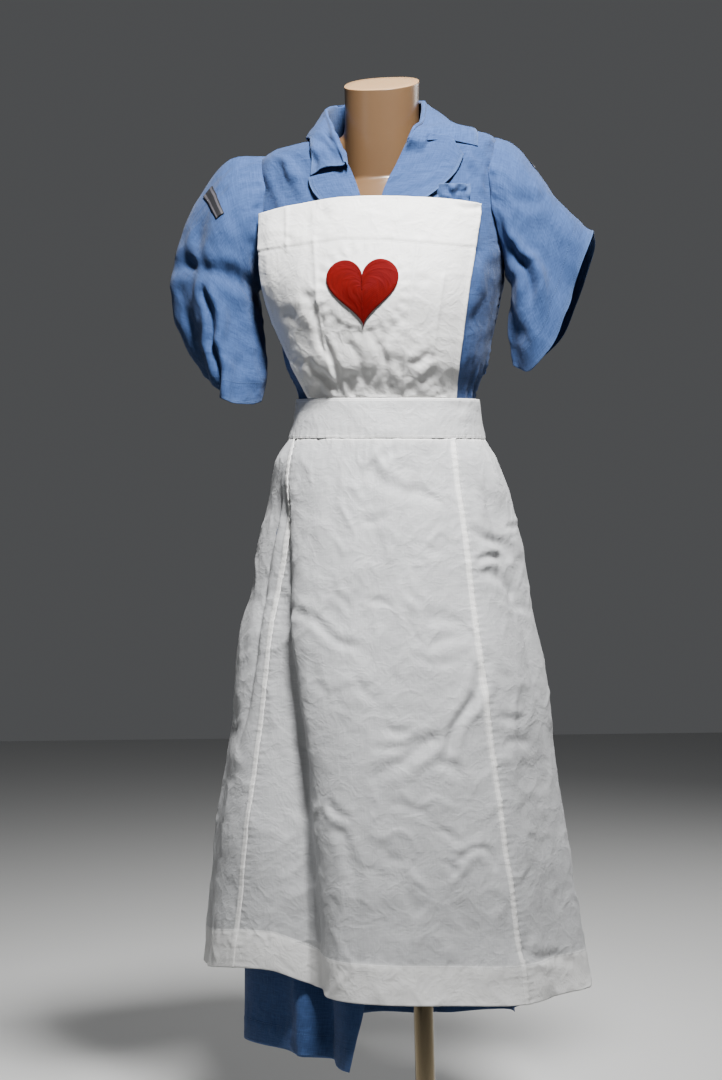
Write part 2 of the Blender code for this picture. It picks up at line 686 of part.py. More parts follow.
def make_motif():
    """A plain red heart of cloth, sewn on the middle of the bib."""
    mid_x, mid_z, half = MOTIF

    def point(u, v):
        t = -math.tau * u
        wide = 16 * math.sin(t) ** 3 / 16
        tall = (13 * math.cos(t) - 5 * math.cos(2 * t) - 2 * math.cos(3 * t)
                - math.cos(4 * t)) / 16
        share = 1 - v
        x, z = mid_x + half * wide * share, mid_z + half * (tall + 0.1) * share
        return chest_point(x, z, bib_lift(x, z) + 0.0010 + SEAM)
    surface("apron_motif", 32, 3, point, "red_cotton", 0.0010)


def add_button(name, centre, normal, lift):
    """A flat round button whose back stands off a wall by lift."""
    bm = bmesh.new()
    bmesh.ops.create_cone(bm, cap_ends=True, segments=20, radius1=BUTTON_RADIUS,
                          radius2=BUTTON_RADIUS * 0.86, depth=BUTTON_THICKNESS)
    turn = Vector((0, 0, 1)).rotation_difference(normal).to_matrix()
    bmesh.ops.rotate(bm, verts=bm.verts, matrix=turn)
    bmesh.ops.translate(bm, verts=bm.verts,
                        vec=centre + normal * (BUTTON_THICKNESS / 2 + lift))
    add_object(name, bm, "button_plastic", smooth=False)


def make_badges():
    """A small cloth tab high on each sleeve, set slantwise: turn and share down the arm."""
    sides = [
        ("sleeve_badge_right", -1, RIGHT_ARM, RIGHT_ARM_FOLDS, 0.085, 0.645),
        ("sleeve_badge_left", 1, LEFT_ARM, LEFT_ARM_FOLDS, 0.035, 0.70),
    ]
    for name, side, rows, folds, turn, down in sides:
        wall = faceted(sleeve_point(side, rows, folds), *SLEEVE_CELLS)

        def point(u, v, wall=wall, turn=turn, down=down):
            a = turn + (u - 0.5) * BADGE_RUN[0] + (v - 0.5) * BADGE_RUN[1]
            b = down - (u - 0.5) * BADGE_RISE[0] + (v - 0.5) * BADGE_RISE[1]
            round_ = wall((a + 0.01) % 1.0, b) - wall((a - 0.01) % 1.0, b)
            up = wall(a % 1.0, b + 0.01) - wall(a % 1.0, b - 0.01)
            out = round_.cross(up).normalized()
            return wall(a % 1.0, b) + out * (BADGE_THICKNESS + 2 * LAP)
        surface(name, 6, 3, point, "badge_cloth", BADGE_THICKNESS)


clear_scene()
COLLECTION = bpy.data.collections.new("Nurse uniform")
bpy.context.scene.collection.children.link(COLLECTION)
make_stand()
make_form()
make_bodice()
make_sleeves()
make_collar()
make_lapels()
make_pocket()
make_dress_skirt()
make_apron_skirt()
make_waistband()
make_bib()
make_motif()
make_badges()
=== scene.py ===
"""Looks of a nurse's uniform on a limbless dress form: a blue cotton dress with an open
collar and short sleeves, under a starched white bib apron.

Row frame: metres, +Z up, the front faces -Y, the origin is under the base plate.
Angles round the body start at the front and grow towards +X.
"""
import math
from collections import namedtuple

import bmesh
import bpy
import numpy as np
from mathutils import Matrix, Vector
from mathutils.bvhtree import BVHTree


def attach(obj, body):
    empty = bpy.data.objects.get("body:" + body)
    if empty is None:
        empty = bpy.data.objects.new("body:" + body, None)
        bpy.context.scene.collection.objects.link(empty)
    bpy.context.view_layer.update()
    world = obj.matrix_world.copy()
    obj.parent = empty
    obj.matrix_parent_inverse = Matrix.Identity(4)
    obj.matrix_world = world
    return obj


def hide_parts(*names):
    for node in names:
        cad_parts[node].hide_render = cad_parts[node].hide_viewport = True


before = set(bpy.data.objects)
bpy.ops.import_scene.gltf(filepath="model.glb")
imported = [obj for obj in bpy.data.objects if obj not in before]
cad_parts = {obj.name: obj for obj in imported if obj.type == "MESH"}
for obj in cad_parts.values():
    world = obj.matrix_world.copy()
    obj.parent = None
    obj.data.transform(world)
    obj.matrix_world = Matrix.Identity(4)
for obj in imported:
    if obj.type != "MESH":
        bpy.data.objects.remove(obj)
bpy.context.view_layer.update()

# Camera: the photograph was taken from about waist height and a little to the uniform's
# own left, with a long lens, and the picture leans by a degree and a half.
CAMERA_AT = Vector((0.4198, -3.4754, 0.9500))
CAMERA_AIM = Vector((-0.0673, -0.0095, 0.8690))
CAMERA_LEAN = math.radians(-1.5)
LENS, SENSOR = 86.4, 36.0   # in millimetres

camera = bpy.data.objects.new("camera", bpy.data.cameras.new("camera"))
camera.data.lens = LENS
camera.data.sensor_fit = "VERTICAL"
camera.data.sensor_height = SENSOR
aim = (CAMERA_AIM - CAMERA_AT).to_track_quat("-Z", "Y").to_matrix()
camera.matrix_world = (Matrix.Translation(CAMERA_AT)
                       @ (aim @ Matrix.Rotation(CAMERA_LEAN, 3, "Z")).to_4x4())
bpy.context.scene.collection.objects.link(camera)
bpy.context.scene.camera = camera

# Studio: a plain pale floor, a small key light high in front and a little to the viewer's
# right, a weak fill from the left, a broad light behind for the edges, and a dim surround.
FLOOR_SIZE = 12.0


def table(kind, rows):
    """Rows of numbers with the named columns of their kind."""
    return [kind(*row) for row in rows]


Lamp = namedtuple("Lamp", "name place aim size watts spread colour")   # spread in degrees
LAMPS = table(Lamp, [
    ("key light", (0.42, -1.20, 2.80), (-0.02, 0, 1.32), 0.36, 30, 65, (1.0, 1.0, 1.0)),
    ("fill light", (-1.9, -2.6, 1.2), (0, 0, 0.8), 0.9, 4, 180, (0.96, 0.98, 1.0)),
    ("edge light", (1.5, 2.2, 2.4), (0, 0, 1.0), 1.4, 40, 180, (1.0, 1.0, 1.0)),
])
SURROUND, SURROUND_STRENGTH = (0.80, 0.82, 0.85, 1), 0.10


def plain_material(name, colour, roughness=0.5, metallic=0.0, more=None):
    """A new Principled material with plain values, and its shader."""
    made = bpy.data.materials.new(name)
    made.use_nodes = True
    shader = made.node_tree.nodes["Principled BSDF"]
    values = {"Base Color": (*colour, 1.0), "Roughness": roughness, "Metallic": metallic}
    for socket, value in {**values, **(more or {})}.items():
        shader.inputs[socket].default_value = value
    return made, shader


floor_bm = bmesh.new()
bmesh.ops.create_grid(floor_bm, x_segments=1, y_segments=1, size=FLOOR_SIZE / 2)
floor_mesh = bpy.data.meshes.new("floor")
floor_bm.to_mesh(floor_mesh)
floor_bm.free()
floor = bpy.data.objects.new("floor", floor_mesh)
floor_mesh.materials.append(plain_material("pale floor", (0.62, 0.62, 0.61), 0.7)[0])
bpy.context.scene.collection.objects.link(floor)

for lamp in LAMPS:
    data = bpy.data.lights.new(lamp.name, "AREA")
    data.size = lamp.size
    data.spread = math.radians(lamp.spread)
    data.energy = lamp.watts
    data.color = lamp.colour
    light = bpy.data.objects.new(lamp.name, data)
    aim = (Vector(lamp.aim) - Vector(lamp.place)).to_track_quat("-Z", "Y").to_matrix()
    light.matrix_world = Matrix.Translation(lamp.place) @ aim.to_4x4()
    bpy.context.scene.collection.objects.link(light)
world = bpy.data.worlds.new("studio")
world.use_nodes = True
background = world.node_tree.nodes["Background"]
background.inputs["Color"].default_value = SURROUND
background.inputs["Strength"].default_value = SURROUND_STRENGTH
bpy.context.scene.world = world

# Dress form: a hollow shell of beige plastic without head or limbs, cast in two halves.
# Its neck is a separate sleeve that meets the chest in a step at the base of the throat.
Section = namedtuple("Section", "z left right front back cx cy tilt ease")
FORM = table(Section, [
    (1.4760, .0500, .0500, .052, .052, -.024, -.002, .00, .0030),
    (1.4450, .0490, .0490, .051, .051, -.025, .003, .00, .0030),
    (1.4200, .0510, .0510, .053, .053, -.026, .008, .00, .0030),
    (1.4120, .0630, .0630, .056, .061, -.027, .011, .01, .0034),
    (1.4090, .0860, .0860, .060, .069, -.028, .012, .02, .0036),
    (1.4055, .1130, .1130, .066, .077, -.028, .012, .03, .0038),
    (1.3995, .1400, .1380, .073, .084, -.028, .012, .04, .0056),
    (1.3840, .1580, .1540, .081, .091, -.028, .012, .04, .0072),
    (1.3480, .1670, .1630, .092, .098, -.028, .012, .04, .0062),
    (1.2980, .1670, .1630, .106, .102, -.028, .010, .03, .0060),
    (1.2450, .1580, .1560, .120, .103, -.028, .008, .02, .0090),
    (1.1950, .1450, .1440, .128, .100, -.027, .006, .01, .0110),
    (1.1500, .1320, .1310, .118, .095, -.026, .005, .00, .0130),
    (1.1050, .1210, .1190, .102, .088, -.026, .004, -.01, .0150),
    (1.0650, .1150, .1130, .093, .085, -.027, .003, -.02, .0036),
    (1.0350, .1130, .1110, .091, .085, -.027, .003, -.02, .0050),
    (0.9850, .1240, .1210, .094, .094, -.029, .003, -.02, .0050),
    (0.9200, .1450, .1410, .102, .108, -.030, .003, -.01, .0050),
    (0.8600, .1570, .1530, .108, .118, -.032, .003, .00, .0050),
    (0.8100, .1580, .1540, .107, .116, -.032, .003, .00, .0050),
    (0.7860, .1480, .1440, .099, .106, -.032, .003, .00, .0050),
])
FORM_POWER = 2.3
NECK_BASE, NECK_SLANT = 2, 0.16   # the neck's last section, and its top's slant
NECK_RISE, NECK_EXTRA_SLANT = 0.0065, 0.15
NECK_LEAN, NECK_FLARE = (-0.036, 0.18), 0.02   # for each metre down its length
THROAT, THROAT_STEP, STEP_RUN, CHEST_SLOPE = 1.3520, 0.0030, 0.0035, 1.25
NECK_FRONT, NECK_SIDE = 1.05, 1.60   # angles between which the straight neck gives way


def along(rows, place):
    """Values of a table of rows at a row number, on a smooth curve through the rows."""
    place = max(0.0, min(len(rows) - 1.0, place))
    i = min(int(place), len(rows) - 2)
    t = place - i
    near = [rows[max(0, min(len(rows) - 1, k))] for k in (i - 1, i, i + 1, i + 2)]
    return [
        0.5 * (2 * b + (c - a) * t + (2 * a - 5 * b + 4 * c - d) * t * t
               + (3 * b - 3 * c + d - a) * t ** 3)
        for a, b, c, d in zip(*near)
    ]


def polar(left, right, front, back, angle, power):
    """Radius of a rounded section whose four half-sizes differ."""
    side = right if math.sin(angle) > 0 else left
    deep = front if math.cos(angle) > 0 else back
    return (abs(math.sin(angle) / side) ** power
            + abs(math.cos(angle) / deep) ** power) ** (-1 / power)


def form_point(s, angle):
    """A point of the dress form at a section number and an angle."""
    row = Section(*along(FORM, s))
    r = polar(row.left, row.right, row.front, row.back, angle, FORM_POWER)
    x, y = r * math.sin(angle), -r * math.cos(angle)
    slant = NECK_SLANT * max(0.0, 1.0 - s)
    return Vector((row.cx + x, row.cy + y, row.z + row.tilt * x + slant * y))


def smooth(value, low, high):
    """0 below low, 1 above high, and an even rise between them."""
    t = np.clip((value - low) / (high - low), 0.0, 1.0)
    return t * t * (3 - 2 * t)


def shell_point(s, angle):
    """The form's shell. In front the neck goes straight down to a small step at the throat,
    and the chest slopes away under it."""
    spot = form_point(s, angle)
    row = Section(*along(FORM, s))
    base = FORM[NECK_BASE]
    below = base.z - spot.z
    axis = Vector((base.cx + NECK_LEAN[0] * below, base.cy + NECK_LEAN[1] * below, spot.z))
    neck = polar(base.left, base.right, base.front, base.back, angle, FORM_POWER)
    neck += NECK_FLARE * below
    under = max(0.0, THROAT - spot.z)
    step = THROAT_STEP * float(smooth(under, 0.0, STEP_RUN))
    out = spot - axis
    wanted = neck + step + CHEST_SLOPE * under
    if s > NECK_BASE:
        wanted = min(out.length, wanted)
    narrow = axis + out.normalized() * wanted
    spot = spot.lerp(narrow, 1 - float(smooth(abs(angle), NECK_FRONT, NECK_SIDE)))
    spot.z += max(0.0, 1 - s) * (NECK_RISE + NECK_EXTRA_SLANT * (spot.y - row.cy))
    return spot


def new_piece(name, bm, material):
    """The bmesh as an object of that name, with its material, riding on the part."""
    mesh = bpy.data.meshes.new(name)
    bm.to_mesh(mesh)
    bm.free()
    mesh.materials.append(material)
    mesh.shade_smooth()
    made = bpy.data.objects.new(name, mesh)
    bpy.context.scene.collection.objects.link(made)
    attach(made, "root")
    return made


def add_node(tree, kind, inputs=None, **settings):
    """A shader node with its settings, its plain input values and its links."""
    node = tree.nodes.new(kind)
    for key, value in settings.items():
        setattr(node, key, value)
    for key, value in (inputs or {}).items():
        if isinstance(value, bpy.types.NodeSocket):
            tree.links.new(value, node.inputs[key])
        else:
            node.inputs[key].default_value = value
    return node


def maths(tree, operation, a, b=0.0, c=0.0):
    """The result of a math node."""
    return add_node(tree, "ShaderNodeMath", {0: a, 1: b, 2: c}, operation=operation).outputs[0]


def mixed(tree, factor, a, b):
    """A colour between two, each the output of a node or a plain colour."""
    ends = {key: (*end, 1) if isinstance(end, tuple) else end
            for key, end in (("A", a), ("B", b))}
    node = add_node(tree, "ShaderNodeMix", {"Factor": factor, **ends}, data_type="RGBA")
    return node.outputs["Result"]


def ranged(tree, value, low, high, to_low=0.0, to_high=1.0):
    """A value moved from one range to another, and kept in it."""
    return add_node(tree, "ShaderNodeMapRange", {
        "Value": value, "From Min": low, "From Max": high, "To Min": to_low,
        "To Max": to_high}).outputs["Result"]


def noise(tree, where, scale, detail, distortion=0.0):
    return add_node(tree, "ShaderNodeTexNoise", {
        "Vector": where, "Scale": scale, "Detail": detail,
        "Distortion": distortion}).outputs["Fac"]


def attribute(tree, name):
    return add_node(tree, "ShaderNodeAttribute", attribute_name=name).outputs["Fac"]


def bumped(tree, height, strength, distance, under=None):
    """The normal of a relief, which can lie over another relief."""
    inputs = {"Height": height, "Strength": strength, "Distance": distance}
    if under is not None:
        inputs["Normal"] = under
    return add_node(tree, "ShaderNodeBump", inputs).outputs["Normal"]


form_finish, form_shader = plain_material(
    "beige shell plastic", (0.10, 0.056, 0.026), 0.38, more={
        "Coat Weight": 0.22, "Coat Roughness": 0.22, "Subsurface Weight": 0.06,
        "Subsurface Radius": (0.010, 0.005, 0.003)})
tree = form_finish.node_tree
place = add_node(tree, "ShaderNodeTexCoord").outputs["Object"]
mottle = noise(tree, place, 26.0, 5.0)
tint = mixed(tree, mottle, (0.108, 0.061, 0.029), (0.094, 0.052, 0.025))
cut_tint = mixed(tree, attribute(tree, "cut"), tint, (0.37, 0.225, 0.115))
tree.links.new(cut_tint, form_shader.inputs["Base Color"])
grain = bumped(tree, noise(tree, place, 700.0, 2.0), 0.10, 0.0006)
tree.links.new(grain, form_shader.inputs["Normal"])

ROUND, DOWN = 96, 250
CUT_RINGS = 4   # rings on each flat cut face; one more rounds its rim
CUT_SHARE, RIM_SHARE, RIM_DROP = 0.975, 0.993, 0.0006
form_bm = bmesh.new()
bmesh.ops.create_uvsphere(form_bm, u_segments=ROUND, v_segments=DOWN, radius=1.0)
last_section = len(FORM) - 1
cut_layer = form_bm.verts.layers.float.new("cut")
for vert in form_bm.verts:
    ring = math.acos(max(-1.0, min(1.0, vert.co.z))) / math.pi * DOWN
    angle = math.atan2(vert.co.x, -vert.co.y)
    end = 0 if ring < DOWN / 2 else last_section
    rim_steps = min(ring, DOWN - ring)
    if rim_steps < CUT_RINGS + 1.5:
        vert[cut_layer] = 1.0
        edge = shell_point(end, angle)
        middle = (shell_point(end, 0) + shell_point(end, math.pi)) / 2
        if rim_steps < CUT_RINGS + 0.5:
            vert.co = middle.lerp(edge, min(1.0, rim_steps / CUT_RINGS) * CUT_SHARE)
        else:
            drop = Vector((0, 0, -RIM_DROP if end == 0 else RIM_DROP))
            vert.co = middle.lerp(edge, RIM_SHARE) + drop
    else:
        share = (ring - CUT_RINGS - 2) / (DOWN - 2 * CUT_RINGS - 4)
        vert.co = shell_point(share * last_section, angle)
form = new_piece("form_body", form_bm, form_finish)
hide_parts("form_torso")

# Stand: a polished steel pole in a small turned socket on a round plate. The photograph
# ends above the plate, so the plate is the plain one that such stands have.


def steel(name, colour, roughness):
    """Polished steel, with a faint turning grain and a few duller places."""
    made, shader = plain_material(name, colour, roughness, 1.0)
    nodes = made.node_tree
    where = add_node(nodes, "ShaderNodeTexCoord").outputs["Object"]
    squeezed = add_node(nodes, "ShaderNodeMapping",
                        {"Vector": where, "Scale": (60.0, 60.0, 900.0)}).outputs["Vector"]
    dull = ranged(nodes, noise(nodes, where, 18.0, 4.0), 0.35, 0.75, roughness, roughness + 0.14)
    nodes.links.new(dull, shader.inputs["Roughness"])
    turned = bumped(nodes, noise(nodes, squeezed, 1.0, 2.0), 0.06, 0.0003)
    nodes.links.new(turned, shader.inputs["Normal"])
    return made


pole_steel = steel("polished pole steel", (0.22, 0.175, 0.11), 0.14)
plate_steel = steel("brushed plate steel", (0.34, 0.32, 0.29), 0.30)
for node, finish in (("stand_pole", pole_steel), ("stand_socket", pole_steel),
                     ("stand_base", plate_steel)):
    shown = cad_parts[node]
    shown.data.materials.clear()
    shown.data.materials.append(finish)

# Dress bodice: two fronts that stay open at the neck and one back, cut from plain-woven
# blue cotton and sewn at the shoulders and sides. The cloth is soft from many washes, and
# its folded edges are painted paler, partly for wear and partly as a painted highlight.
Cut = namedtuple("Cut", "s fold front_edge back_edge")
CUTS = table(Cut, [
    (3.50, 80, 90, 90),
    (4.00, 70, 90, 90),
    (5.00, 52, 90, 90),
    (6.00, 38, 90, 90),
    (6.60, 32, 88, 92),
    (7.00, 28, 79, 101),
    (8.00, 15, 70, 112),
    (9.00, 4, 69, 113),
    (9.50, 0, 72, 110),
    (10.00, 0, 78, 104),
    (10.50, 0, 88, 92),
    (11.00, 0, 90, 90),
    (16.00, 0, 90, 90),
])
TIP, ARMPIT = 6.55, 10.5
UNDER_BIB_RIGHT, UNDER_BIB_LEFT, UNDER_BIB_TOP = (-.180, -.160), (.075, .100), (1.28, 1.31)
Crease = namedtuple("Crease", "x0 z0 x1 z1 width depth")   # width and depth in millimetres
FRONT_CREASES = table(Crease, [
    (.088, 1.372, .108, 1.316, 6, 3.0),
    (.102, 1.376, .117, 1.330, 6, 1.8),
    (.095, 1.372, .112, 1.330, 5, -2.2),
    (-.160, 1.368, -.134, 1.322, 8, 2.0),
    (-.150, 1.380, -.128, 1.350, 8, -1.6),
    (-.185, 1.345, -.168, 1.300, 7, 1.4),
    (.128, 1.300, .100, 1.262, 9, 1.8),
    (.132, 1.262, .098, 1.236, 8, 1.8),
    (.126, 1.200, .092, 1.150, 9, 1.6),
    (.120, 1.150, .086, 1.085, 9, 1.8),
    (-.175, 1.165, -.140, 1.075, 9, 2.0),
])
# Each crease is a trough between two low shoulders, and bows sideways by a share of its
# length. The shoulders' height is a share of its depth, their place and width of its width.
BOW, SHOULDER_HEIGHT, SHOULDER_PLACE, SHOULDER_WIDTH = 0.10, 0.45, 1.9, 1 / 0.9
CREASE_ENDS = (-0.25, 0.20, 0.80, 1.25)
# The noise field of crumples: its cells, its turn from seed to seed, and where it starts.
CELLS, GOLDEN_ANGLE, FIELD_START = 97, 2.399, (31.3, 17.7)
Wrinkle = namedtuple("Wrinkle", "depth size u_share v_share")   # a share under 1 stretches it
BODICE_WRINKLES = [Wrinkle(.0026, .045, 1, 0.6), Wrinkle(.0012, .020, 1, 1)]


def between(rows, key):
    """Values of a table at a key in its first column, by straight lines between rows."""
    ordered = sorted(rows)
    if key <= ordered[0][0]:
        return ordered[0][1:]
    for low, high in zip(ordered, ordered[1:]):
        if key <= high[0]:
            t = (key - low[0]) / (high[0] - low[0])
            return [a + (b - a) * t for a, b in zip(low[1:], high[1:])]
    return ordered[-1][1:]


def bodice_point(s, angle, lift=0.0):
    """A point of the bodice's outer face: the form's, moved out by the ease and a lift."""
    step = 0.02
    down = form_point(min(s + step, len(FORM) - 1), angle) - form_point(s - step, angle)
    round_ = form_point(s, angle + step) - form_point(s, angle - step)
    normal = down.cross(round_).normalized()
    return form_point(s, angle) + normal * (along(FORM, s)[8] + lift)


def panel_edge(kind, s, side):
    """Angle of a bodice edge on a side, -1 for the wearer's right and 1 for the left."""
    cut = Cut(s, *between(CUTS, s))
    return side * math.radians(getattr(cut, kind))


def sampled(point, across, down):
    """A coarse net of points of a surface, rows from its foot up."""
    return np.array([[point(i / across, j / down)[:] for i in range(across + 1)]
                     for j in range(down + 1)])


def finer(points, count):
    """Points along an array's first axis, spread to count + 1 on a smooth curve."""
    spots = np.linspace(0, len(points) - 1, count + 1)
    i = np.minimum(spots.astype(int), len(points) - 2)
    t = (spots - i)[:, None, None]
    last = len(points) - 1
    a, b, c, d = (points[np.clip(i + k, 0, last)] for k in (-1, 0, 1, 2))
    return 0.5 * (2 * b + (c - a) * t + (2 * a - 5 * b + 4 * c - d) * t * t
                  + (3 * b - 3 * c + d - a) * t ** 3)


def crumple(u, v, size, seed, ridged=False):
    """A field of soft hollows about one size across, or of fine sharp ridges."""
    values = np.random.default_rng(seed).uniform(-1, 1, (CELLS, CELLS))
    lean = seed * GOLDEN_ANGLE
    x = (u * math.cos(lean) - v * math.sin(lean)) / size + FIELD_START[0]
    y = (u * math.sin(lean) + v * math.cos(lean)) / size + FIELD_START[1]
    i, j = np.floor(x).astype(int), np.floor(y).astype(int)
    fx, fy = x - i, y - j
    fx, fy = fx * fx * (3 - 2 * fx), fy * fy * (3 - 2 * fy)
    corner = [values[(j + b) % CELLS, (i + a) % CELLS]
              for a, b in ((0, 0), (1, 0), (0, 1), (1, 1))]
    field = ((corner[0] * (1 - fx) + corner[1] * fx) * (1 - fy)
             + (corner[2] * (1 - fx) + corner[3] * fx) * fy)
    return 0.5 - np.abs(field) * 2 if ridged else field


def wrinkled(u, v, seed, rows):
    """Several crumple fields in one, with seeds that count up from the first."""
    return sum(row.depth * crumple(u * row.u_share, v * row.v_share, row.size, seed + k)
               for k, row in enumerate(rows))


def creased(points, rows):
    """Depth in metres of a list of creases, on the front of a piece."""
    depth = np.zeros(points.shape[:2])
    x, z = points[..., 0], points[..., 2]
    for row in rows:
        ax, az = row.x1 - row.x0, row.z1 - row.z0
        length = math.hypot(ax, az)
        t = ((x - row.x0) * ax + (z - row.z0) * az) / length ** 2
        bend = BOW * length * np.sin(np.pi * np.clip(t, 0, 1)) * (1 if row.width % 2 else -1)
        off = ((x - row.x0) * az - (z - row.z0) * ax) / length + bend
        ends = smooth(t, *CREASE_ENDS[:2]) * (1 - smooth(t, *CREASE_ENDS[2:]))
        wide = row.width / 1000
        beside = (np.abs(off) - SHOULDER_PLACE * wide) / (SHOULDER_WIDTH * wide)
        profile = np.exp(-(off / wide) ** 2) - SHOULDER_HEIGHT * np.exp(-beside ** 2)
        depth += row.depth / 1000 * ends * profile
    return depth * (1 - smooth(points[..., 1], 0.01, 0.05))


Cloth = namedtuple("Cloth", "object area width length points")
WALL, DOUBLE_WALL = 0.0009, 0.0014
# Edges are painted paler within this reach, partly for wear and partly as a painted highlight.
WEAR_AND_HIGHLIGHT_REACH = 0.0030      # how far from an edge the cloth is paler
WELD = 0.00002
# The groove fade sets the width of the painted shade beside a stitch line.
STITCH_FADE, GROOVE_SHADE_FADE, STITCH_WAVES = 1300.0, 450.0, 2100.0   # for each metre


def nearest(*distances):
    """Distance to the nearest of several lines, signed so that it is 0 only on a line."""
    sign, size = 1.0, np.inf
    for distance in distances:
        sign = sign * np.where(distance < 0, -1.0, 1.0)
        size = np.minimum(size, np.abs(distance))
    return sign * size


def cloth(name, net, across, down, finish, relief=None, thickness=WALL, worn=(1, 1, 1, 1),
          stitch=None, closed=False, doubled=None):
    """A piece of cloth: a fine grid laid over a coarse net of points, with its relief.

    Its UV map is in metres along the threads. The attribute edge is 1 on the edges that worn
    names (foot, top, first and last side), which the shader paints paler, partly for wear and
    partly as a painted highlight; stitch is the distance to the nearest stitch line, and
    layers is 1 where a hem or seam doubles the cloth.
    A closed piece is a tube whose last column meets its first.
    """
    points = finer(finer(net, down).transpose(1, 0, 2), across).transpose(1, 0, 2)

    def lengths(where, axis):
        steps = np.linalg.norm(np.diff(where, axis=axis), axis=2)
        return np.insert(np.cumsum(steps, axis=axis), 0, 0.0, axis=axis)

    u, v = lengths(points, 1), lengths(points, 0)
    u_even = u - u[:, -1:] / 2
    v_even = np.repeat(v.mean(axis=1)[:, None], across + 1, axis=1)
    normal = np.cross(np.gradient(points, axis=1), np.gradient(points, axis=0))
    normal /= np.maximum(np.linalg.norm(normal, axis=2), 1e-12)[..., None]
    if closed:
        normal[:, 0] = normal[:, -1] = (normal[:, 0] + normal[:, -1]) / 2
    if relief is not None:
        depth = relief(points, u_even, v_even)
        if closed:
            join = np.linspace(0, 1, across // 8)
            depth[:, -len(join):] += (depth[:, :1] - depth[:, -len(join):]) * join
        points = points + normal * depth[..., None]
    far = np.full(points.shape[:2], 1.0)
    edges = (v, v[-1:] - v, u, u[:, -1:] - u)
    for near, is_pale in zip(edges, worn):
        if is_pale:
            far = np.minimum(far, near)
    line = np.full(points.shape[:2], 1.0) if stitch is None else stitch(points, u, v)
    layers = np.zeros(points.shape[:2]) if doubled is None else doubled(points, u, v)
    bm = bmesh.new()
    bmesh.ops.create_grid(bm, x_segments=across, y_segments=down, size=1.0)
    uv_layer = bm.loops.layers.uv.new("cloth")
    edge_layer = bm.verts.layers.float.new("edge")
    stitch_layer = bm.verts.layers.float.new("stitch")
    doubled_layer = bm.verts.layers.float.new("layers")
    spots = {}
    for vert in bm.verts:
        i, j = round((vert.co.x + 1) / 2 * across), round((vert.co.y + 1) / 2 * down)
        vert.co = points[j, i]
        vert[edge_layer] = math.exp(-far[j, i] / WEAR_AND_HIGHLIGHT_REACH)
        vert[stitch_layer] = line[j, i]
        vert[doubled_layer] = layers[j, i]
        spots[vert.index] = (u_even[j, i], v_even[j, i])
    for face in bm.faces:
        for loop in face.loops:
            loop[uv_layer].uv = spots[loop.vert.index]
    if closed:
        bmesh.ops.remove_doubles(bm, verts=bm.verts, dist=WELD)
    made = new_piece(name, bm, finish)
    wall = made.modifiers.new("Cloth wall", "SOLIDIFY")
    wall.thickness = thickness
    wall.offset = -1.0
    cross = np.cross(points[1:, 1:] - points[:-1, :-1], points[1:, :-1] - points[:-1, 1:])
    area = float(np.linalg.norm(cross, axis=2).sum() / 2)
    return Cloth(made, area, float(u[:, -1].max()), float(v[-1].max()), points)


def declare(node):
    """Hides the solid that a piece of cloth takes the place of."""
    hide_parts(node)


def weave_group():
    """Shader group for woven cotton: the height of its threads and their slubs, the stitches,
    a mask of painted shade in their groove, and the sharp lines of fine crumples."""
    group = bpy.data.node_groups.new("plain weave", "ShaderNodeTree")
    for way, names in (("INPUT", ("Threads", "Slub length")),
                       ("OUTPUT", ("Slub", "Height", "Stitch", "Groove shade", "Crumple"))):
        for name in names:
            group.interface.new_socket(name, in_out=way, socket_type="NodeSocketFloat")
    given = group.nodes.new("NodeGroupInput")
    result = group.nodes.new("NodeGroupOutput")

    def calc(operation, a, b=0.0, c=0.0):
        return maths(group, operation, a, b, c)

    uv = add_node(group, "ShaderNodeUVMap", uv_map="cloth").outputs["UV"]
    split = add_node(group, "ShaderNodeSeparateXYZ", {"Vector": uv})
    x, y = split.outputs["X"], split.outputs["Y"]
    streaks = []
    for a, b, shift in ((x, y, 0.0), (y, x, 7.3)):
        fine = calc("MULTIPLY", a, given.outputs["Threads"])
        long_ = calc("MULTIPLY", b, given.outputs["Slub length"])
        where = add_node(group, "ShaderNodeCombineXYZ", {"X": fine, "Y": long_, "Z": shift})
        streaks.append(noise(group, where.outputs["Vector"], 1.0, 2.0))
    slub = calc("MULTIPLY", calc("ADD", streaks[0], streaks[1]), 0.5)
    waves = []
    for a in (x, y):
        turns = calc("MULTIPLY", a, calc("MULTIPLY", given.outputs["Threads"], 4.0))
        waves.append(calc("SINE", turns))
    height = calc("ADD", calc("MULTIPLY", calc("MULTIPLY", waves[0], waves[1]), 0.35), slub)
    distance = calc("ABSOLUTE", attribute(group, "stitch"))
    # groove is a mask for painted shade beside the stitch line, not a relief.
    line, groove = (calc("MAXIMUM", calc("SUBTRACT", 1.0, calc("MULTIPLY", distance, fade)), 0.0)
                    for fade in (STITCH_FADE, GROOVE_SHADE_FADE))
    dashes = calc("SINE", calc("MULTIPLY", calc("ADD", x, y), STITCH_WAVES))
    dashes = calc("MINIMUM", calc("MAXIMUM", calc("MULTIPLY_ADD", dashes, 2.0, 0.9), 0.0), 1.0)
    stitch = calc("MULTIPLY", line, dashes)
    lines = []
    for scale, warp in ((24.0, 0.6), (61.0, 0.9)):
        ridge = calc("ABSOLUTE", calc("SUBTRACT", noise(group, uv, scale, 3.0, warp), 0.5))
        lines.append(calc("SUBTRACT", 1.0, calc("MINIMUM", calc("MULTIPLY", ridge, 9.0), 1.0)))
    crumple_height = calc("ADD", lines[0], calc("MULTIPLY", lines[1], 0.4))
    for name, value in (("Slub", slub), ("Height", height), ("Stitch", stitch),
                        ("Groove shade", groove), ("Crumple", crumple_height)):
        group.links.new(value, result.inputs[name])
    return group


WEAVE = weave_group()


def woven(nodes, threads, slub_length):
    """The outputs of the weave, for a number of threads and a length of slubs."""
    weave = add_node(nodes, "ShaderNodeGroup", node_tree=WEAVE)
    weave.inputs["Threads"].default_value = threads
    weave.inputs["Slub length"].default_value = slub_length
    return weave.outputs


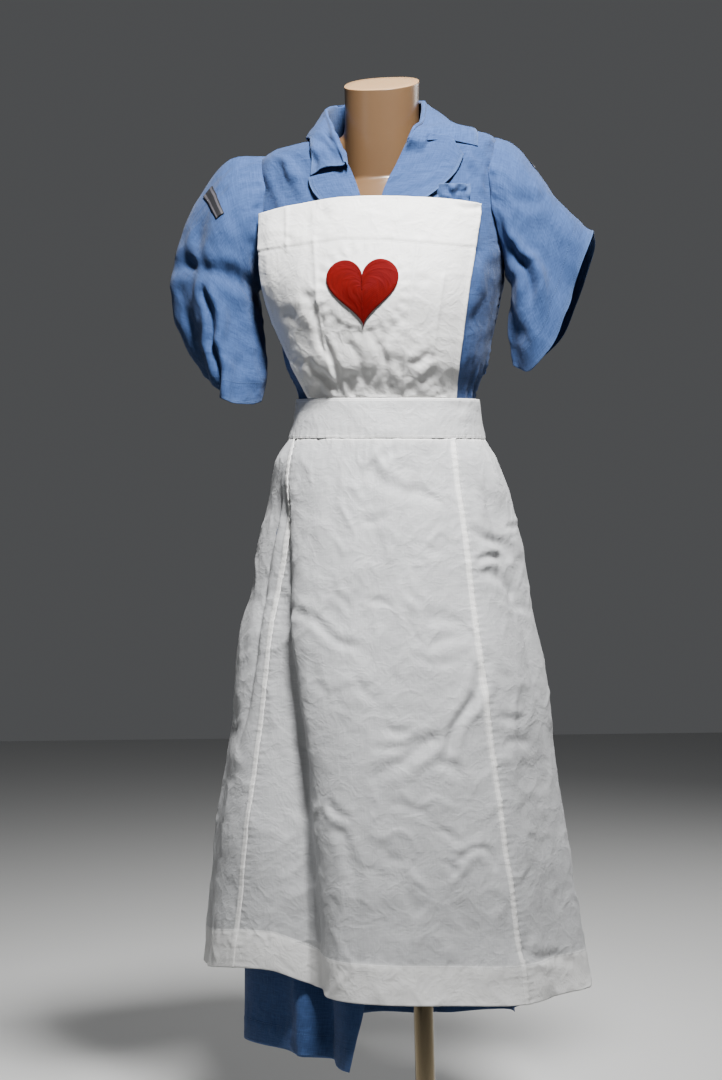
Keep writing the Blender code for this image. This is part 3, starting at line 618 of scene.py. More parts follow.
def cotton(name, pale, deep, edge_wear_and_highlight_colour, edge_wear_and_highlight_share, threads, slub_length, bump, roughness,
           thread_colour, crumple_bump):
    """Woven cotton between two colours, with its stitch lines, its edges painted paler partly for
    wear and partly as a painted highlight, and painted shade in the stitch grooves.
    """
    made, shader = plain_material(name, deep, roughness, more={
        "Sheen Weight": 0.07, "Sheen Roughness": 0.45, "Specular IOR Level": 0.28})
    nodes = made.node_tree
    weave = woven(nodes, threads, slub_length)
    where = add_node(nodes, "ShaderNodeUVMap", uv_map="cloth").outputs["UV"]
    threads_colour = mixed(nodes, ranged(nodes, weave["Slub"], 0.36, 0.64), deep, pale)
    washed = ranged(nodes, noise(nodes, where, 9.0, 3.0), 0.3, 0.7, 0.0, 0.35)
    clouded = mixed(nodes, washed, threads_colour, pale)
    # Painted highlight mixed with wear: worn edges and doubled cloth are painted paler, for their
    # wear and thickness and as light on raised edges and welts.
    edge = maths(nodes, "MULTIPLY", attribute(nodes, "edge"), edge_wear_and_highlight_share)
    layers = maths(nodes, "MULTIPLY", attribute(nodes, "layers"), 0.85)
    wear_and_highlight_edged = mixed(nodes, maths(nodes, "MAXIMUM", edge, layers), clouded, edge_wear_and_highlight_colour)
    # Painted shade: the cloth is darkened in the groove beside each stitch line.
    shade = maths(nodes, "MULTIPLY", weave["Groove shade"], 0.22)
    groove_shaded = mixed(nodes, shade, wear_and_highlight_edged, tuple(0.55 * part for part in deep))
    sewn = mixed(nodes, weave["Stitch"], groove_shaded, thread_colour)
    height = maths(nodes, "MULTIPLY_ADD", weave["Stitch"], 1.6, weave["Height"])
    creases = bumped(nodes, weave["Crumple"], crumple_bump, 0.0012)
    relief = bumped(nodes, height, bump, 0.0007, creases)
    nodes.links.new(sewn, shader.inputs["Base Color"])
    nodes.links.new(relief, shader.inputs["Normal"])
    return made


dress_cotton = cotton(
    "washed blue cotton", pale=(0.037, 0.079, 0.208), deep=(0.017, 0.040, 0.114),
    edge_wear_and_highlight_colour=(0.09, 0.155, 0.32), edge_wear_and_highlight_share=0.45, threads=900.0, slub_length=60.0,
    bump=0.60, roughness=0.85, thread_colour=(0.05, 0.10, 0.24), crumple_bump=0.35)


def seam_pucker(distance, run, pitch, reach, height):
    """Ripples across a seam that fade with the distance from it."""
    wave = np.sin(run / pitch * math.tau) + 0.5 * np.sin(run / pitch * 1.73 * math.tau + 1.0)
    return height * wave * np.exp(-distance / reach)


def bodice_relief(seed):
    """Soft wrinkles of worn cotton over the chest and back, with the panel's own creases.

    They are pressed flat under the bib, and fade out towards the seams.
    """
    def relief(points, u, v):
        x, y, z = points[..., 0], points[..., 1], points[..., 2]
        under_bib = smooth(x, *UNDER_BIB_RIGHT) * (1 - smooth(x, *UNDER_BIB_LEFT))
        under_bib = under_bib * (1 - smooth(z, *UNDER_BIB_TOP)) * (1 - smooth(y, -0.05, 0.0))
        across = np.abs(u - np.sign(u) * np.abs(u).max(axis=1, keepdims=True))
        soft = wrinkled(u, v, seed, BODICE_WRINKLES)
        sharp = 0.0008 * crumple(u + v * 0.4, v, 0.030, seed + 2, True)
        pucker = seam_pucker(across, v, 0.011, 0.012, 0.0009)
        gathers = 0.0022 * np.sin(u / 0.019 * math.tau) * (1 - smooth(z, 1.06, 1.14))
        body = (soft + sharp - 1.6 * creased(points, FRONT_CREASES)) * smooth(across, 0, 0.015)
        body = 0.0008 + np.maximum(body + gathers, -0.0020)
        return body * (1 - 0.8 * under_bib) + pucker * (1 - under_bib)
    return relief


TOP_SECTION, FOOT_SECTION = 3.5, 14.97
HALF_SEAM, ARMHOLE_ALLOWANCE = 0.0016, 0.07   # angles: half a seam's gap, and its lap
ALLOWANCE_RUN = (TIP - 0.35, TIP + 0.10, 9.7, 10.4)


def under_sleeve(s):
    """Angle by which a panel goes on under the head of the sleeve, as its seam allowance."""
    return ARMHOLE_ALLOWANCE * float(smooth(s, *ALLOWANCE_RUN[:2])
                                     * (1 - smooth(s, *ALLOWANCE_RUN[2:])))


def bodice_front(side):
    """A front panel, from its folded edge to its side seam and its armhole."""
    def point(u, v):
        s = FOOT_SECTION + (TOP_SECTION - FOOT_SECTION) * v
        inner = panel_edge("fold", s, side) + side * HALF_SEAM
        outer = panel_edge("front_edge", s, side) + side * (under_sleeve(s) - HALF_SEAM)
        share = u if side > 0 else 1 - u
        return bodice_point(s, inner + (outer - inner) * share)
    return point


def bodice_back(u, v):
    s = FOOT_SECTION + (TOP_SECTION - FOOT_SECTION) * v
    low = panel_edge("back_edge", s, 1) + HALF_SEAM - under_sleeve(s)
    high = math.tau + panel_edge("back_edge", s, -1) - HALF_SEAM + under_sleeve(s)
    return bodice_point(s, low + (high - low) * u)


for name, node, side, seed in (("dress_bodice_right", "dress_front_right", -1, 11),
                               ("dress_bodice_left", "dress_front_left", 1, 12)):
    piece = cloth(name, sampled(bodice_front(side), 12, 34), 56, 110, dress_cotton,
                  bodice_relief(seed), worn=(0, 0, 0, 0))
    declare(node)
piece = cloth("dress_bodice_back", sampled(bodice_back, 22, 34), 100, 100, dress_cotton,
              bodice_relief(13), worn=(0, 0, 0, 0))
declare("dress_back")

# Sleeves: each is one short, wide tube gathered into the armhole. The wearer's right one
# hangs down in two long folds, and the left one stands out stiffly from the shoulder.
Cuff = namedtuple("Cuff", "outer_x outer_z inner_x inner_z depth y bow")
RIGHT_ARM = table(Cuff, [
    (-.2420, 1.3840, -.2010, 1.2060, .072, .004, .000),
    (-.2980, 1.3050, -.1960, 1.1800, .068, .000, .002),
    (-.3200, 1.2180, -.1900, 1.1350, .064, -.006, .004),
    (-.3070, 1.1450, -.1885, 1.0920, .062, -.010, .007),
    (-.2810, 1.0840, -.1960, 1.0620, .062, -.012, .010),
])
LEFT_ARM = table(Cuff, [
    (.1600, 1.3850, .1430, 1.2010, .068, .006, .000),
    (.1870, 1.3490, .1410, 1.1800, .064, .002, .006),
    (.2100, 1.3170, .1395, 1.1560, .060, -.002, .013),
    (.2340, 1.2870, .1405, 1.1270, .055, -.006, .022),
    (.2550, 1.2600, .1440, 1.0980, .050, -.008, .030),
])
HEM_STEP, STEP_AT, STEP_WIDTH = 0.014, {-1: 0.165, 1: 0.310}, 0.01
SLEEVE_LAP = 0.0020
SLEEVE_WRINKLES = [Wrinkle(.0030, .042, 1, 0.5), Wrinkle(.0012, .018, 1, 1)]
RIGHT_ARM_FOLDS = [(48, 34, -.026), (100, 22, .008), (215, 26, -.012), (300, 24, -.010)]
LEFT_ARM_FOLDS = [(78, 34, -.022), (138, 20, .009), (240, 28, -.014), (310, 22, .006)]
RIGHT_SLEEVE_CREASES = table(Crease, [
    (-.310, 1.246, -.262, 1.236, 11, 4.5),
    (-.262, 1.236, -.205, 1.212, 11, 5.0),
    (-.284, 1.296, -.270, 1.246, 8, -3.0),
    (-.272, 1.290, -.260, 1.240, 8, 2.2),
    (-.264, 1.208, -.256, 1.140, 5, 6.0),
    (-.256, 1.140, -.255, 1.062, 5, 7.0),
    (-.250, 1.206, -.243, 1.140, 7, -3.5),
    (-.243, 1.140, -.240, 1.050, 7, -3.5),
    (-.300, 1.190, -.282, 1.110, 9, 1.8),
    (-.232, 1.190, -.214, 1.100, 9, 1.8),
    (-.238, 1.345, -.226, 1.300, 7, 1.8),
    (-.218, 1.340, -.208, 1.270, 8, 1.6),
])
LEFT_SLEEVE_CREASES = table(Crease, [
    (.146, 1.292, .152, 1.262, 6, -3.0),
    (.152, 1.262, .176, 1.236, 6, -4.5),
    (.176, 1.236, .184, 1.190, 7, -4.5),
    (.184, 1.190, .176, 1.130, 8, -3.5),
    (.148, 1.256, .168, 1.226, 8, 5.0),
    (.166, 1.226, .172, 1.160, 9, 5.0),
    (.150, 1.220, .152, 1.140, 8, 3.0),
    (.152, 1.318, .190, 1.312, 10, 2.6),
    (.196, 1.300, .222, 1.240, 12, 1.8),
    (.206, 1.240, .208, 1.180, 9, 1.4),
])


def armhole(turn, side):
    """The armhole's edge, lapped outwards: turn 0 is the shoulder, half a turn the armpit."""
    if turn <= 0.5:
        s = TIP + (ARMPIT - TIP) * turn * 2
        angle = panel_edge("front_edge", s, side)
    else:
        s = TIP + (ARMPIT - TIP) * (1 - turn) * 2
        angle = panel_edge("back_edge", s, side)
    return bodice_point(s, angle, SLEEVE_LAP)


def away_from(angle, place):
    """Degrees from a place to an angle, the short way round."""
    return (math.degrees(angle) - place + 180) % 360 - 180


def sleeve_ring(cuff, turn, side, folds, share):
    """A flattened ring of a sleeve, with its folds grown by share."""
    outer = Vector((cuff.outer_x, cuff.y, cuff.outer_z))
    inner = Vector((cuff.inner_x, cuff.y, cuff.inner_z))
    centre, half = (outer + inner) / 2, (outer - inner) / 2
    angle = math.tau * turn
    r = 1.0
    for at, width, reach in folds:
        r += reach / cuff.depth * share * math.exp(-(away_from(angle, at) / width) ** 2)
    beyond = half.cross(Vector((0, 1, 0))).normalized() * -side
    bow = cuff.bow * abs(math.sin(angle)) * (1 - 0.55 * math.cos(angle))
    return (centre + half * (math.cos(angle) * r) + beyond * bow
            - Vector((0, cuff.depth * math.sin(angle) * r, 0)))


def sleeve_point(side, rows, folds):
    """A sleeve from its hem up to the armhole. Its hem steps up by a little at one place."""
    def point(turn, v):
        turn = 1 - turn if side > 0 else turn
        rings = [armhole(turn % 1.0, side)]
        for k, cuff in enumerate(rows):
            rings.append(sleeve_ring(cuff, turn, side, folds, (k + 1) / len(rows)))
        spot = Vector(along(rings, (1 - v) * len(rows)))
        shorter = 1 - smooth(turn, STEP_AT[side] - STEP_WIDTH, STEP_AT[side] + STEP_WIDTH)
        spot.z += HEM_STEP * (1 - v) ** 5 * float(shorter + smooth(turn, 0.6, 0.95))
        return spot
    return point


def sleeve_relief(rows, seed):
    """Gathers under the armhole seam, and the sleeve's own creases and wrinkles."""
    def relief(points, u, v):
        top = v.max() - v
        round_ = u / (u.max() - u.min()) * math.tau
        gathers = np.sin(round_ * 19) + 0.6 * np.sin(round_ * 31 + 0.7)
        upper = smooth(points[..., 2], 1.25, 1.36)
        head = 0.0022 * gathers * upper * np.exp(-top / 0.020) * smooth(top, 0.0, 0.006)
        soft = wrinkled(u, v, seed, SLEEVE_WRINKLES)
        sharp = 0.0009 * crumple(u, v, 0.028, seed + 2, True)
        body = (soft + sharp - creased(points, rows)) * smooth(top, 0.0, 0.02)
        return body + head - 0.0008 * (1 - smooth(top, 0.0, 0.005))
    return relief


def hem_stitch(depth):
    return lambda points, u, v: nearest(v - depth, v - 0.003)


sleeves = {}
for name, node, side, rows, folds, creases, seed in (
        ("dress_sleeve_hanging", "dress_sleeve_right", -1, RIGHT_ARM, RIGHT_ARM_FOLDS,
         RIGHT_SLEEVE_CREASES, 21),
        ("dress_sleeve_standing", "dress_sleeve_left", 1, LEFT_ARM, LEFT_ARM_FOLDS,
         LEFT_SLEEVE_CREASES, 22)):
    net = sampled(sleeve_point(side, rows, folds), 48, 14)
    piece = cloth(name, net, 132, 76, dress_cotton, sleeve_relief(creases, seed),
                  worn=(1, 0, 0, 0), stitch=hem_stitch(0.028), closed=True)
    sleeves[node] = piece
    declare(node)

# Collar: one strip of two layers of the blue cotton, sewn into the neckline. It stands up
# round the neck, rolls over, and its ends stop short of the lapels, where a notch is left.
Roll = namedtuple("Roll", "sewn_s sewn_a roll_x roll_y roll_z outer_s outer_a")
COLLAR = table(Roll, [
    (7.50, -22, -.0640, -.0925, 1.3665, 7.85, -45),
    (6.00, -36, -.0800, -.0710, 1.4060, 6.80, -49),
    (4.60, -52, -.0890, -.0420, 1.4250, 5.40, -59),
    (3.80, -72, -.0985, -.0120, 1.4420, 4.60, -76),
    (3.65, -92, -.1010, .0140, 1.4530, 4.50, -94),
    (3.60, -120, -.0890, .0420, 1.4600, 4.70, -118),
    (3.60, -150, -.0640, .0640, 1.4630, 5.30, -148),
    (3.60, -180, -.0330, .0730, 1.4630, 5.50, -180),
    (3.60, -210, .0010, .0640, 1.4620, 5.30, -212),
    (3.65, -240, .0240, .0400, 1.4590, 5.00, -240),
    (3.75, -266, .0320, .0090, 1.4540, 4.70, -262),
    (4.00, -286, .0340, -.0160, 1.4400, 4.80, -276),
    (4.70, -304, .0330, -.0420, 1.4220, 5.60, -282),
    (5.70, -318, .0270, -.0705, 1.4115, 6.50, -288),
    (6.70, -321, .0215, -.0815, 1.3960, 7.20, -292),
])
CRUSHED_AT, CRUSHED_REACH, CRUSHED_DEPTH = 0.030, 0.022, 0.0085   # near its first end
COLLAR_DENTS = [Wrinkle(.0011, .030, 1, 1), Wrinkle(.0005, .012, 1, 1)]
SEWN_LIFT, EDGE_LIFT = 0.0019, 0.0030
FALL_SHARE, FALL_RISE = 0.45, 0.004   # a point of the falling part, between edge and roll
ROLL_SHAPE = [(0.0035, -0.003), (0.0, 0.0015), (-0.0015, -0.004)]   # out and up from the roll


def collar_point(u, v):
    """The collar from its free edge over the roll and down to the neckline."""
    row = Roll(*along(COLLAR, u * (len(COLLAR) - 1)))
    sewn = bodice_point(row.sewn_s, math.radians(row.sewn_a), SEWN_LIFT)
    roll = Vector((row.roll_x, row.roll_y, row.roll_z))
    edge = bodice_point(row.outer_s, math.radians(row.outer_a), EDGE_LIFT)
    outward = Vector((edge.x - sewn.x, edge.y - sewn.y, 0)).normalized()
    shape = [edge, edge.lerp(roll, FALL_SHARE) + Vector((0, 0, FALL_RISE)),
             *(roll + outward * out + Vector((0, 0, up)) for out, up in ROLL_SHAPE), sewn]
    return Vector(along(shape, v * (len(shape) - 1)))


def collar_relief(points, u, v):
    """A rolled edge, soft dents from wear, small folds at each end, and a crushed place."""
    ends = np.abs(u).max() - np.abs(u)
    dents = wrinkled(u, v, 31, COLLAR_DENTS)
    folds = 0.0010 * crumple(u + v, v * 0.5, 0.016, 33) * np.exp(-ends / 0.030)
    beside = (u - u[:, :1] - CRUSHED_AT) / CRUSHED_REACH
    folds = folds + CRUSHED_DEPTH * crumple(u * 0.7, v * 1.5, 0.016, 34) * np.exp(-beside ** 2)
    return (dents + folds) * smooth(v, 0, 0.004) * smooth(v.max() - v, 0, 0.012)


piece = cloth("dress_collar_strip", sampled(collar_point, 56, 12), 190, 36, dress_cotton,
              collar_relief, DOUBLE_WALL, (1, 0, 1, 0), hem_stitch(0.006))
collar = piece.object
declare("dress_collar")

# Lapels: the upper front edges, folded back flat on the chest as two pointed layers.
NOTCH, NOTCH_FADE = 0.75, (-0.05, 0.08)
LAPEL_LIFT, LAPEL_EDGE, LAPEL_ROLL = 0.0024, 0.0010, 0.0030
COLLAR_GAP = 0.0030
LAPEL_INSET = 0.006
LAPEL_DENTS = [Wrinkle(.0012, .026, 1, 1), Wrinkle(.0004, .010, 1, 1)]
Turn = namedtuple("Turn", "fold_x fold_z edge_x edge_z")
RIGHT_LAPEL = table(Turn, [
    (-.0340, 1.2800, -.0460, 1.2800),
    (-.0400, 1.3000, -.0780, 1.3000),
    (-.0465, 1.3242, -.1021, 1.3242),
    (-.0505, 1.3400, -.1095, 1.3338),
    (-.0544, 1.3510, -.1135, 1.3430),
    (-.0600, 1.3600, -.1150, 1.3515),
])
LEFT_LAPEL = table(Turn, [
    (-.0280, 1.2800, -.0170, 1.2800),
    (-.0215, 1.3000, .0150, 1.3000),
    (-.0140, 1.3270, .0500, 1.3220),
    (-.0070, 1.3450, .0760, 1.3460),
    (.0030, 1.3640, .0848, 1.3600),
    (.0225, 1.4085, .0900, 1.3750),
])


def solve(low, high, above):
    """The value between low and high at which above(value) turns from False to True."""
    for _ in range(18):
        middle = (low + high) / 2
        if above(middle):
            high = middle
        else:
            low = middle
    return (low + high) / 2


def chest_point(x, z, lift=0.0):
    """The point over the front of the bodice that has this x and this height."""
    def at(angle):
        s = solve(3.6, 15.5, lambda k: bodice_point(k, angle, lift).z < z)
        return bodice_point(s, angle, lift)
    return at(solve(math.radians(-88), math.radians(88), lambda a: at(a).x > x))


collar_mesh = collar.data
collar_face = BVHTree.FromPolygons([vert.co for vert in collar_mesh.vertices],
                                   [face.vertices for face in collar_mesh.polygons])


def over_collar(spot, share):
    """The spot, brought forward by share until it lies over the collar."""
    there = collar_face.ray_cast(Vector((spot.x, -0.5, spot.z)), Vector((0, 1, 0)))[0]
    if there is not None and there.y - COLLAR_GAP < spot.y:
        spot.y += (there.y - COLLAR_GAP - spot.y) * share
    return spot


def lapel_point(rows, side, rise):
    """The lapel's net. Its top edge rises by rise up to where the notch starts."""
    def point(u, v):
        turn = Turn(*along(rows, v * (len(rows) - 1)))
        out = u if side > 0 else 1 - u
        x = turn.fold_x + (turn.edge_x - turn.fold_x) * out
        z = turn.fold_z + (turn.edge_z - turn.fold_z) * out
        z += rise * v ** 6 * min(out / NOTCH, (1 - out) / (1 - NOTCH))
        lift = LAPEL_LIFT + (LAPEL_EDGE + LAPEL_ROLL * (1 - v * v)) * out
        spot = chest_point(x, z, lift)
        if side < 0:
            return spot
        return over_collar(spot, 1 - float(smooth(out - NOTCH, *NOTCH_FADE)))
    return point


def lapel_relief(seed):
    return lambda points, u, v: np.abs(wrinkled(u, v, seed, LAPEL_DENTS))


for name, node, rows, side, rise, seed in (
        ("dress_lapel_right_side", "dress_lapel_right", RIGHT_LAPEL, -1, 0.001, 41),
        ("dress_lapel_left_side", "dress_lapel_left", LEFT_LAPEL, 1, 0.0180, 43)):
    piece = cloth(name, sampled(lapel_point(rows, side, rise), 16, 16), 48, 60, dress_cotton,
                  lapel_relief(seed), DOUBLE_WALL, (0, 0, side < 0, side > 0),
                  lambda points, u, v, side=side: (
                      u - u[:, :1] if side < 0 else u[:, -1:] - u) - LAPEL_INSET)
    declare(node)

# Breast pocket: a small patch whose loose top crumples outwards beside the bib.
POCKET_LEFT, POCKET_RIGHT, POCKET_FOOT, POCKET_TOP = .0560, .0960, 1.2700, 1.3350
POCKET_LIFT, POCKET_GAPE = 0.0017, 0.009


def pocket_point(u, v):
    x = POCKET_LEFT + (POCKET_RIGHT - POCKET_LEFT) * u
    z = POCKET_FOOT + (POCKET_TOP - POCKET_FOOT) * v
    return chest_point(x, z, POCKET_LIFT + POCKET_GAPE * v ** 3 * math.sin(math.pi * u))


def pocket_relief(points, u, v):
    crumpled = np.abs(crumple(u, v * 0.7, 0.012, 52)) * 0.0075 + 0.0012 * crumple(u, v, 0.006, 53)
    return crumpled * smooth(v, 0.035, 0.055)


piece = cloth("dress_breast_pocket", sampled(pocket_point, 6, 8), 40, 60, dress_cotton,
              pocket_relief, stitch=hem_stitch(0.004))
declare("dress_pocket")

# Dress skirt: two fronts and a back, sewn to the bodice at the waist. It hangs in soft
# folds under the apron and shows only below the apron's hem and at the middle of the back.
Ring = namedtuple("Ring", "z left right front back cx cy")
APRON_RINGS = table(Ring, [
    (1.0600, .1235, .1235, .1015, .0960, -.0270, .003),
    (1.0040, .1320, .1320, .1110, .1060, -.0300, .003),
    (0.9780, .1520, .1490, .1180, .1190, -.0310, .003),
    (0.9350, .1640, .1660, .1270, .1350, -.0310, .003),
    (0.8600, .1820, .1810, .1430, .1500, -.0310, .003),
    (0.8000, .1920, .1900, .1550, .1600, -.0310, .003),
    (0.7350, .2080, .2040, .1680, .1680, -.0320, .002),
    (0.6550, .2150, .2150, .1820, .1760, -.0320, .001),
    (0.5900, .2170, .2180, .1920, .1820, -.0330, .000),
    (0.4800, .2340, .2320, .2070, .1900, -.0340, .000),
    (0.3800, .2440, .2430, .2190, .1960, -.0350, .000),
    (0.2600, .2560, .2550, .2320, .2020, -.0350, .000),
])
DRESS_RINGS = table(Ring, [
    (1.0350, .1180, .1160, .0960, .0900, -.0270, .003),
    (1.0000, .1240, .1230, .1020, .0960, -.0300, .003),
    (0.9750, .1420, .1400, .1090, .1100, -.0310, .003),
    (0.9350, .1560, .1550, .1170, .1260, -.0310, .003),
    (0.8600, .1720, .1690, .1290, .1400, -.0310, .003),
    (0.7350, .1860, .1790, .1480, .1540, -.0320, .002),
    (0.5900, .1930, .1800, .1680, .1680, -.0330, .000),
    (0.4800, .1950, .1790, .1800, .1760, -.0340, .000),
    (0.3000, .1980, .1760, .1980, .1870, -.0350, .000),
    (0.1800, .1980, .1730, .2060, .1930, -.0350, .000),
])
SKIRT_POWER = 2.2
APRON_HEM = 0.2830
NEST, OPEN_NEST, NEST_FADE = 0.0300, 0.0020, 16   # the last in degrees
WAIST, WAIST_FADE, SKIRT_TOP = 1.04, 0.05, 1.0346
FORM_CLEARANCE = 0.0065
PANEL_GAP = 0.1   # degrees
SKIRT_WRINKLES = [Wrinkle(.0022, .060, 1, 0.4), Wrinkle(.0008, .022, 1, 1)]
Fold = namedtuple("Fold", "angle width start reach")
APRON_FOLDS = table(Fold, [
    (-66, 9, 0.88, 0.006),
    (-88, 8, 0.95, 0.010),
    (-12, 12, 0.80, 0.004),
    (24, 12, 0.70, -0.007),
    (44, 10, 0.85, 0.006),
    (66, 9, 0.95, -0.010),
    (85, 8, 0.97, 0.010),
    (103, 8, 0.98, -0.014),
    (120, 8, 0.98, 0.012),
    (138, 8, 0.98, -0.012),
    (-106, 8, 0.98, -0.014),
    (-123, 8, 0.98, 0.012),
    (-140, 8, 0.98, -0.012),
])
DRESS_FOLDS = table(Fold, [
    (-46, 15, 0.80, -0.030),
    (-22, 9, 0.60, 0.006),
    (-75, 10, 0.85, 0.008),
    (-100, 10, 0.90, -0.016),
    (-125, 10, 0.95, 0.012),
    (-150, 9, 0.95, -0.014),
    (-172, 9, 0.95, 0.010),
    (162, 9, 0.95, -0.012),
    (138, 10, 0.95, 0.012),
    (112, 10, 0.90, -0.014),
    (84, 10, 0.85, 0.008),
    (60, 10, 0.80, -0.012),
])
# The apron's one deep fold leans: its angle at heights down the front, in degrees
VALLEY = [(1.00, -62), (.900, -58), (.783, -53), (.678, -45), (.586, -38), (.457, -31),
          (.366, -28), (.250, -27)]
VALLEY_START, VALLEY_REACH, VALLEY_BEHIND, VALLEY_AHEAD = 0.93, -0.060, 20, 10
BACK_EDGE = [(1.01, 158), (0.80, 153), (0.50, 148), (0.20, 144)]
RIGHT_FRONT_EDGE = [(1.04, 0.0), (0.60, 0.0), (0.40, -1.0), (0.28, -4.0), (0.18, -12.0)]
LEFT_FRONT_EDGE = [(1.04, 0.0), (0.80, 4.0), (0.60, 14.0), (0.40, 34.0), (0.25, 48.0)]
HEM_RIGHT = [(-180, .184), (-120, .196), (-92, .206), (-50, .200), (-10, .189), (0, .188)]
HEM_LEFT = [(0, .295), (45, .290), (60, .275), (92, .240), (125, .205), (180, .184)]
HEM_AROUND = HEM_LEFT + [(angle + 360, z) for angle, z in HEM_RIGHT if angle > -180]
DRESS_HEM_BAND = 0.030
SIDE_SEAM = 92.0
BODY_MIDDLE = -0.030
DRESS_SLOPE, BAND_SLOPE, HEM_SLOPE = 0.02, 0.028, 0.06
HEM_HEIGHT = 0.25   # where the hem's angles are looked up


def place_of(rows, z):
    """Row number at which a table that runs downwards reaches a height."""
    for i, (high, low) in enumerate(zip(rows, rows[1:])):
        if z >= low[0]:
            return i + (high[0] - z) / (high[0] - low[0])
    return len(rows) - 1.0


def skirt_radius(rows, folds, z, angle):
    """Radius of a skirt at a height and an angle, with its long folds."""
    row = Ring(*along(rows, place_of(rows, z)))
    r = polar(row.left, row.right, row.front, row.back, angle, SKIRT_POWER)
    for fold in folds:
        away = away_from(angle, fold.angle)
        grown = max(0.0, (fold.start - z) / (fold.start - APRON_HEM))
        r += fold.reach * grown ** 1.2 * math.exp(-(away / fold.width) ** 2)
    return r


def apron_radius(z, angle):
    """The apron's radius: its rings and folds, and the one deep fold that leans."""
    r = skirt_radius(APRON_RINGS, APRON_FOLDS, z, angle)
    away = away_from(angle, between(VALLEY, z)[0])
    grown = max(0.0, (VALLEY_START - z) / (VALLEY_START - APRON_HEM))
    wide = VALLEY_BEHIND if away < 0 else VALLEY_AHEAD
    return r + VALLEY_REACH * grown ** 1.1 * math.exp(-abs(away / wide) ** 1.5)


def at_radius(z, angle, r):
    row = Ring(*along(APRON_RINGS, place_of(APRON_RINGS, z)))
    return Vector((row.cx + r * math.sin(angle), row.cy - r * math.cos(angle), z))


def tilted(z, x, slope):
    """Heights on a line that slopes down towards +X about the middle of the body."""
    return z - slope * (x - BODY_MIDDLE)


def over_form(spot):
    """The spot, kept outside the dress form where the form's hips are."""
    if spot.z < FORM[-1].z:
        return spot
    row = Section(*along(FORM, place_of(FORM, spot.z)))
    off = Vector((spot.x - row.cx, spot.y - row.cy, 0))
    least = FORM_CLEARANCE + polar(row.left, row.right, row.front, row.back,
                                   math.atan2(off.x, -off.y), FORM_POWER)
    return spot + off.normalized() * max(0.0, least - off.length)


def nest(z, angle):
    """How far the dress skirt stays inside the apron: it swells out between the apron's
    back edges."""
    back_edge_angle = between(BACK_EDGE, z)[0]
    behind = 180 - abs((math.degrees(angle) % 360) - 180)
    covered = 1 - float(smooth(behind, back_edge_angle - NEST_FADE, back_edge_angle))
    return (OPEN_NEST + (NEST - OPEN_NEST) * covered) * min(1.0, (WAIST - z) / WAIST_FADE)


def skirt_panel(low_edge, high_edge, hem):
    """A panel between two edges, from its hem up to the waist, inside the apron."""
    def point(u, v):
        def angle_at(z):
            return math.radians(low_edge(z) + (high_edge(z) - low_edge(z)) * u)
        foot = between(hem, math.degrees(angle_at(HEM_HEIGHT)))[0]
        z = foot + (SKIRT_TOP - foot) * v
        angle = angle_at(z)
        own = skirt_radius(DRESS_RINGS, DRESS_FOLDS, z, angle)
        over = apron_radius(max(z, APRON_HEM - 0.02), angle)
        spot = at_radius(z, angle, min(own, over - nest(z, angle)))
        spot.z += tilted(0, spot.x, DRESS_SLOPE) * v
        return over_form(spot)
    return point


def skirt_relief(seed):
    """Soft wrinkles and the doubled band of the hem, puckered along its stitches."""
    def relief(points, u, v):
        soft = wrinkled(u, v, seed, SKIRT_WRINKLES)
        band = 0.0008 * (1 - smooth(v - DRESS_HEM_BAND, -0.001, 0.001))
        pucker = seam_pucker(np.abs(v - DRESS_HEM_BAND), u, 0.014, 0.012, 0.0008)
        return soft * smooth(points[..., 2], 1.03, 0.97) + band + pucker
    return relief


for name, node, low_edge, high_edge, hem, cells, seed in (
        ("dress_skirt_right_front", "dress_skirt_front_right",
         lambda z: PANEL_GAP - SIDE_SEAM,
         lambda z: between(RIGHT_FRONT_EDGE, z)[0] - PANEL_GAP,
         HEM_RIGHT, 80, 61),
        ("dress_skirt_left_front", "dress_skirt_front_left",
         lambda z: between(LEFT_FRONT_EDGE, z)[0] + PANEL_GAP,
         lambda z: SIDE_SEAM - PANEL_GAP,
         HEM_LEFT, 70, 63),
        ("dress_skirt_whole_back", "dress_skirt_back",
         lambda z: SIDE_SEAM + PANEL_GAP, lambda z: 360 - SIDE_SEAM - PANEL_GAP,
         HEM_AROUND, 150, 65)):
    piece = cloth(name, sampled(skirt_panel(low_edge, high_edge, hem), cells // 3, 24),
                  cells, 190, dress_cotton, skirt_relief(seed),
                  stitch=hem_stitch(DRESS_HEM_BAND))
    declare(node)

# Apron skirt: three gores of starched white cotton, joined by flat-felled seams and
# finished with a deep hem. The starch keeps sharp creases from folding and wear.
Line = namedtuple("Line", "z left right")
GORE_SEAMS = table(Line, [
    (1.0035, -.1456, .0705),
    (0.8900, -.1590, .0860),
    (0.7400, -.1800, .1030),
    (0.5600, -.1970, .1250),
    (0.3600, -.2210, .1490),
    (0.2400, -.2360, .1620),
])
BAND_TOP, BAND_BOTTOM = 1.0575, 1.0040
BAND_GAP = 0.0004
HEM_BAND = 0.050
HEM_LIFT, LIFT_ANGLE, LIFT_BEHIND, LIFT_AHEAD = 0.022, -44, 26, 11   # angles in degrees
LAP, LAP_WIDTH = 0.045, 0.007   # the lap as an angle in the net, and in metres
WELT = (0.0065, 0.0090)
FELL_STITCHES = (0.0018, 0.0072)
STARCHED_HOLLOWS = [Wrinkle(.0034, .085, 1, 0.6), Wrinkle(.0015, .036, 1, 1),
                    Wrinkle(.00045, .013, 1, 1)]
ROUND_RADIUS, ROUND_MIDDLE = 0.21, -0.033   # for the place of a crumple round the body
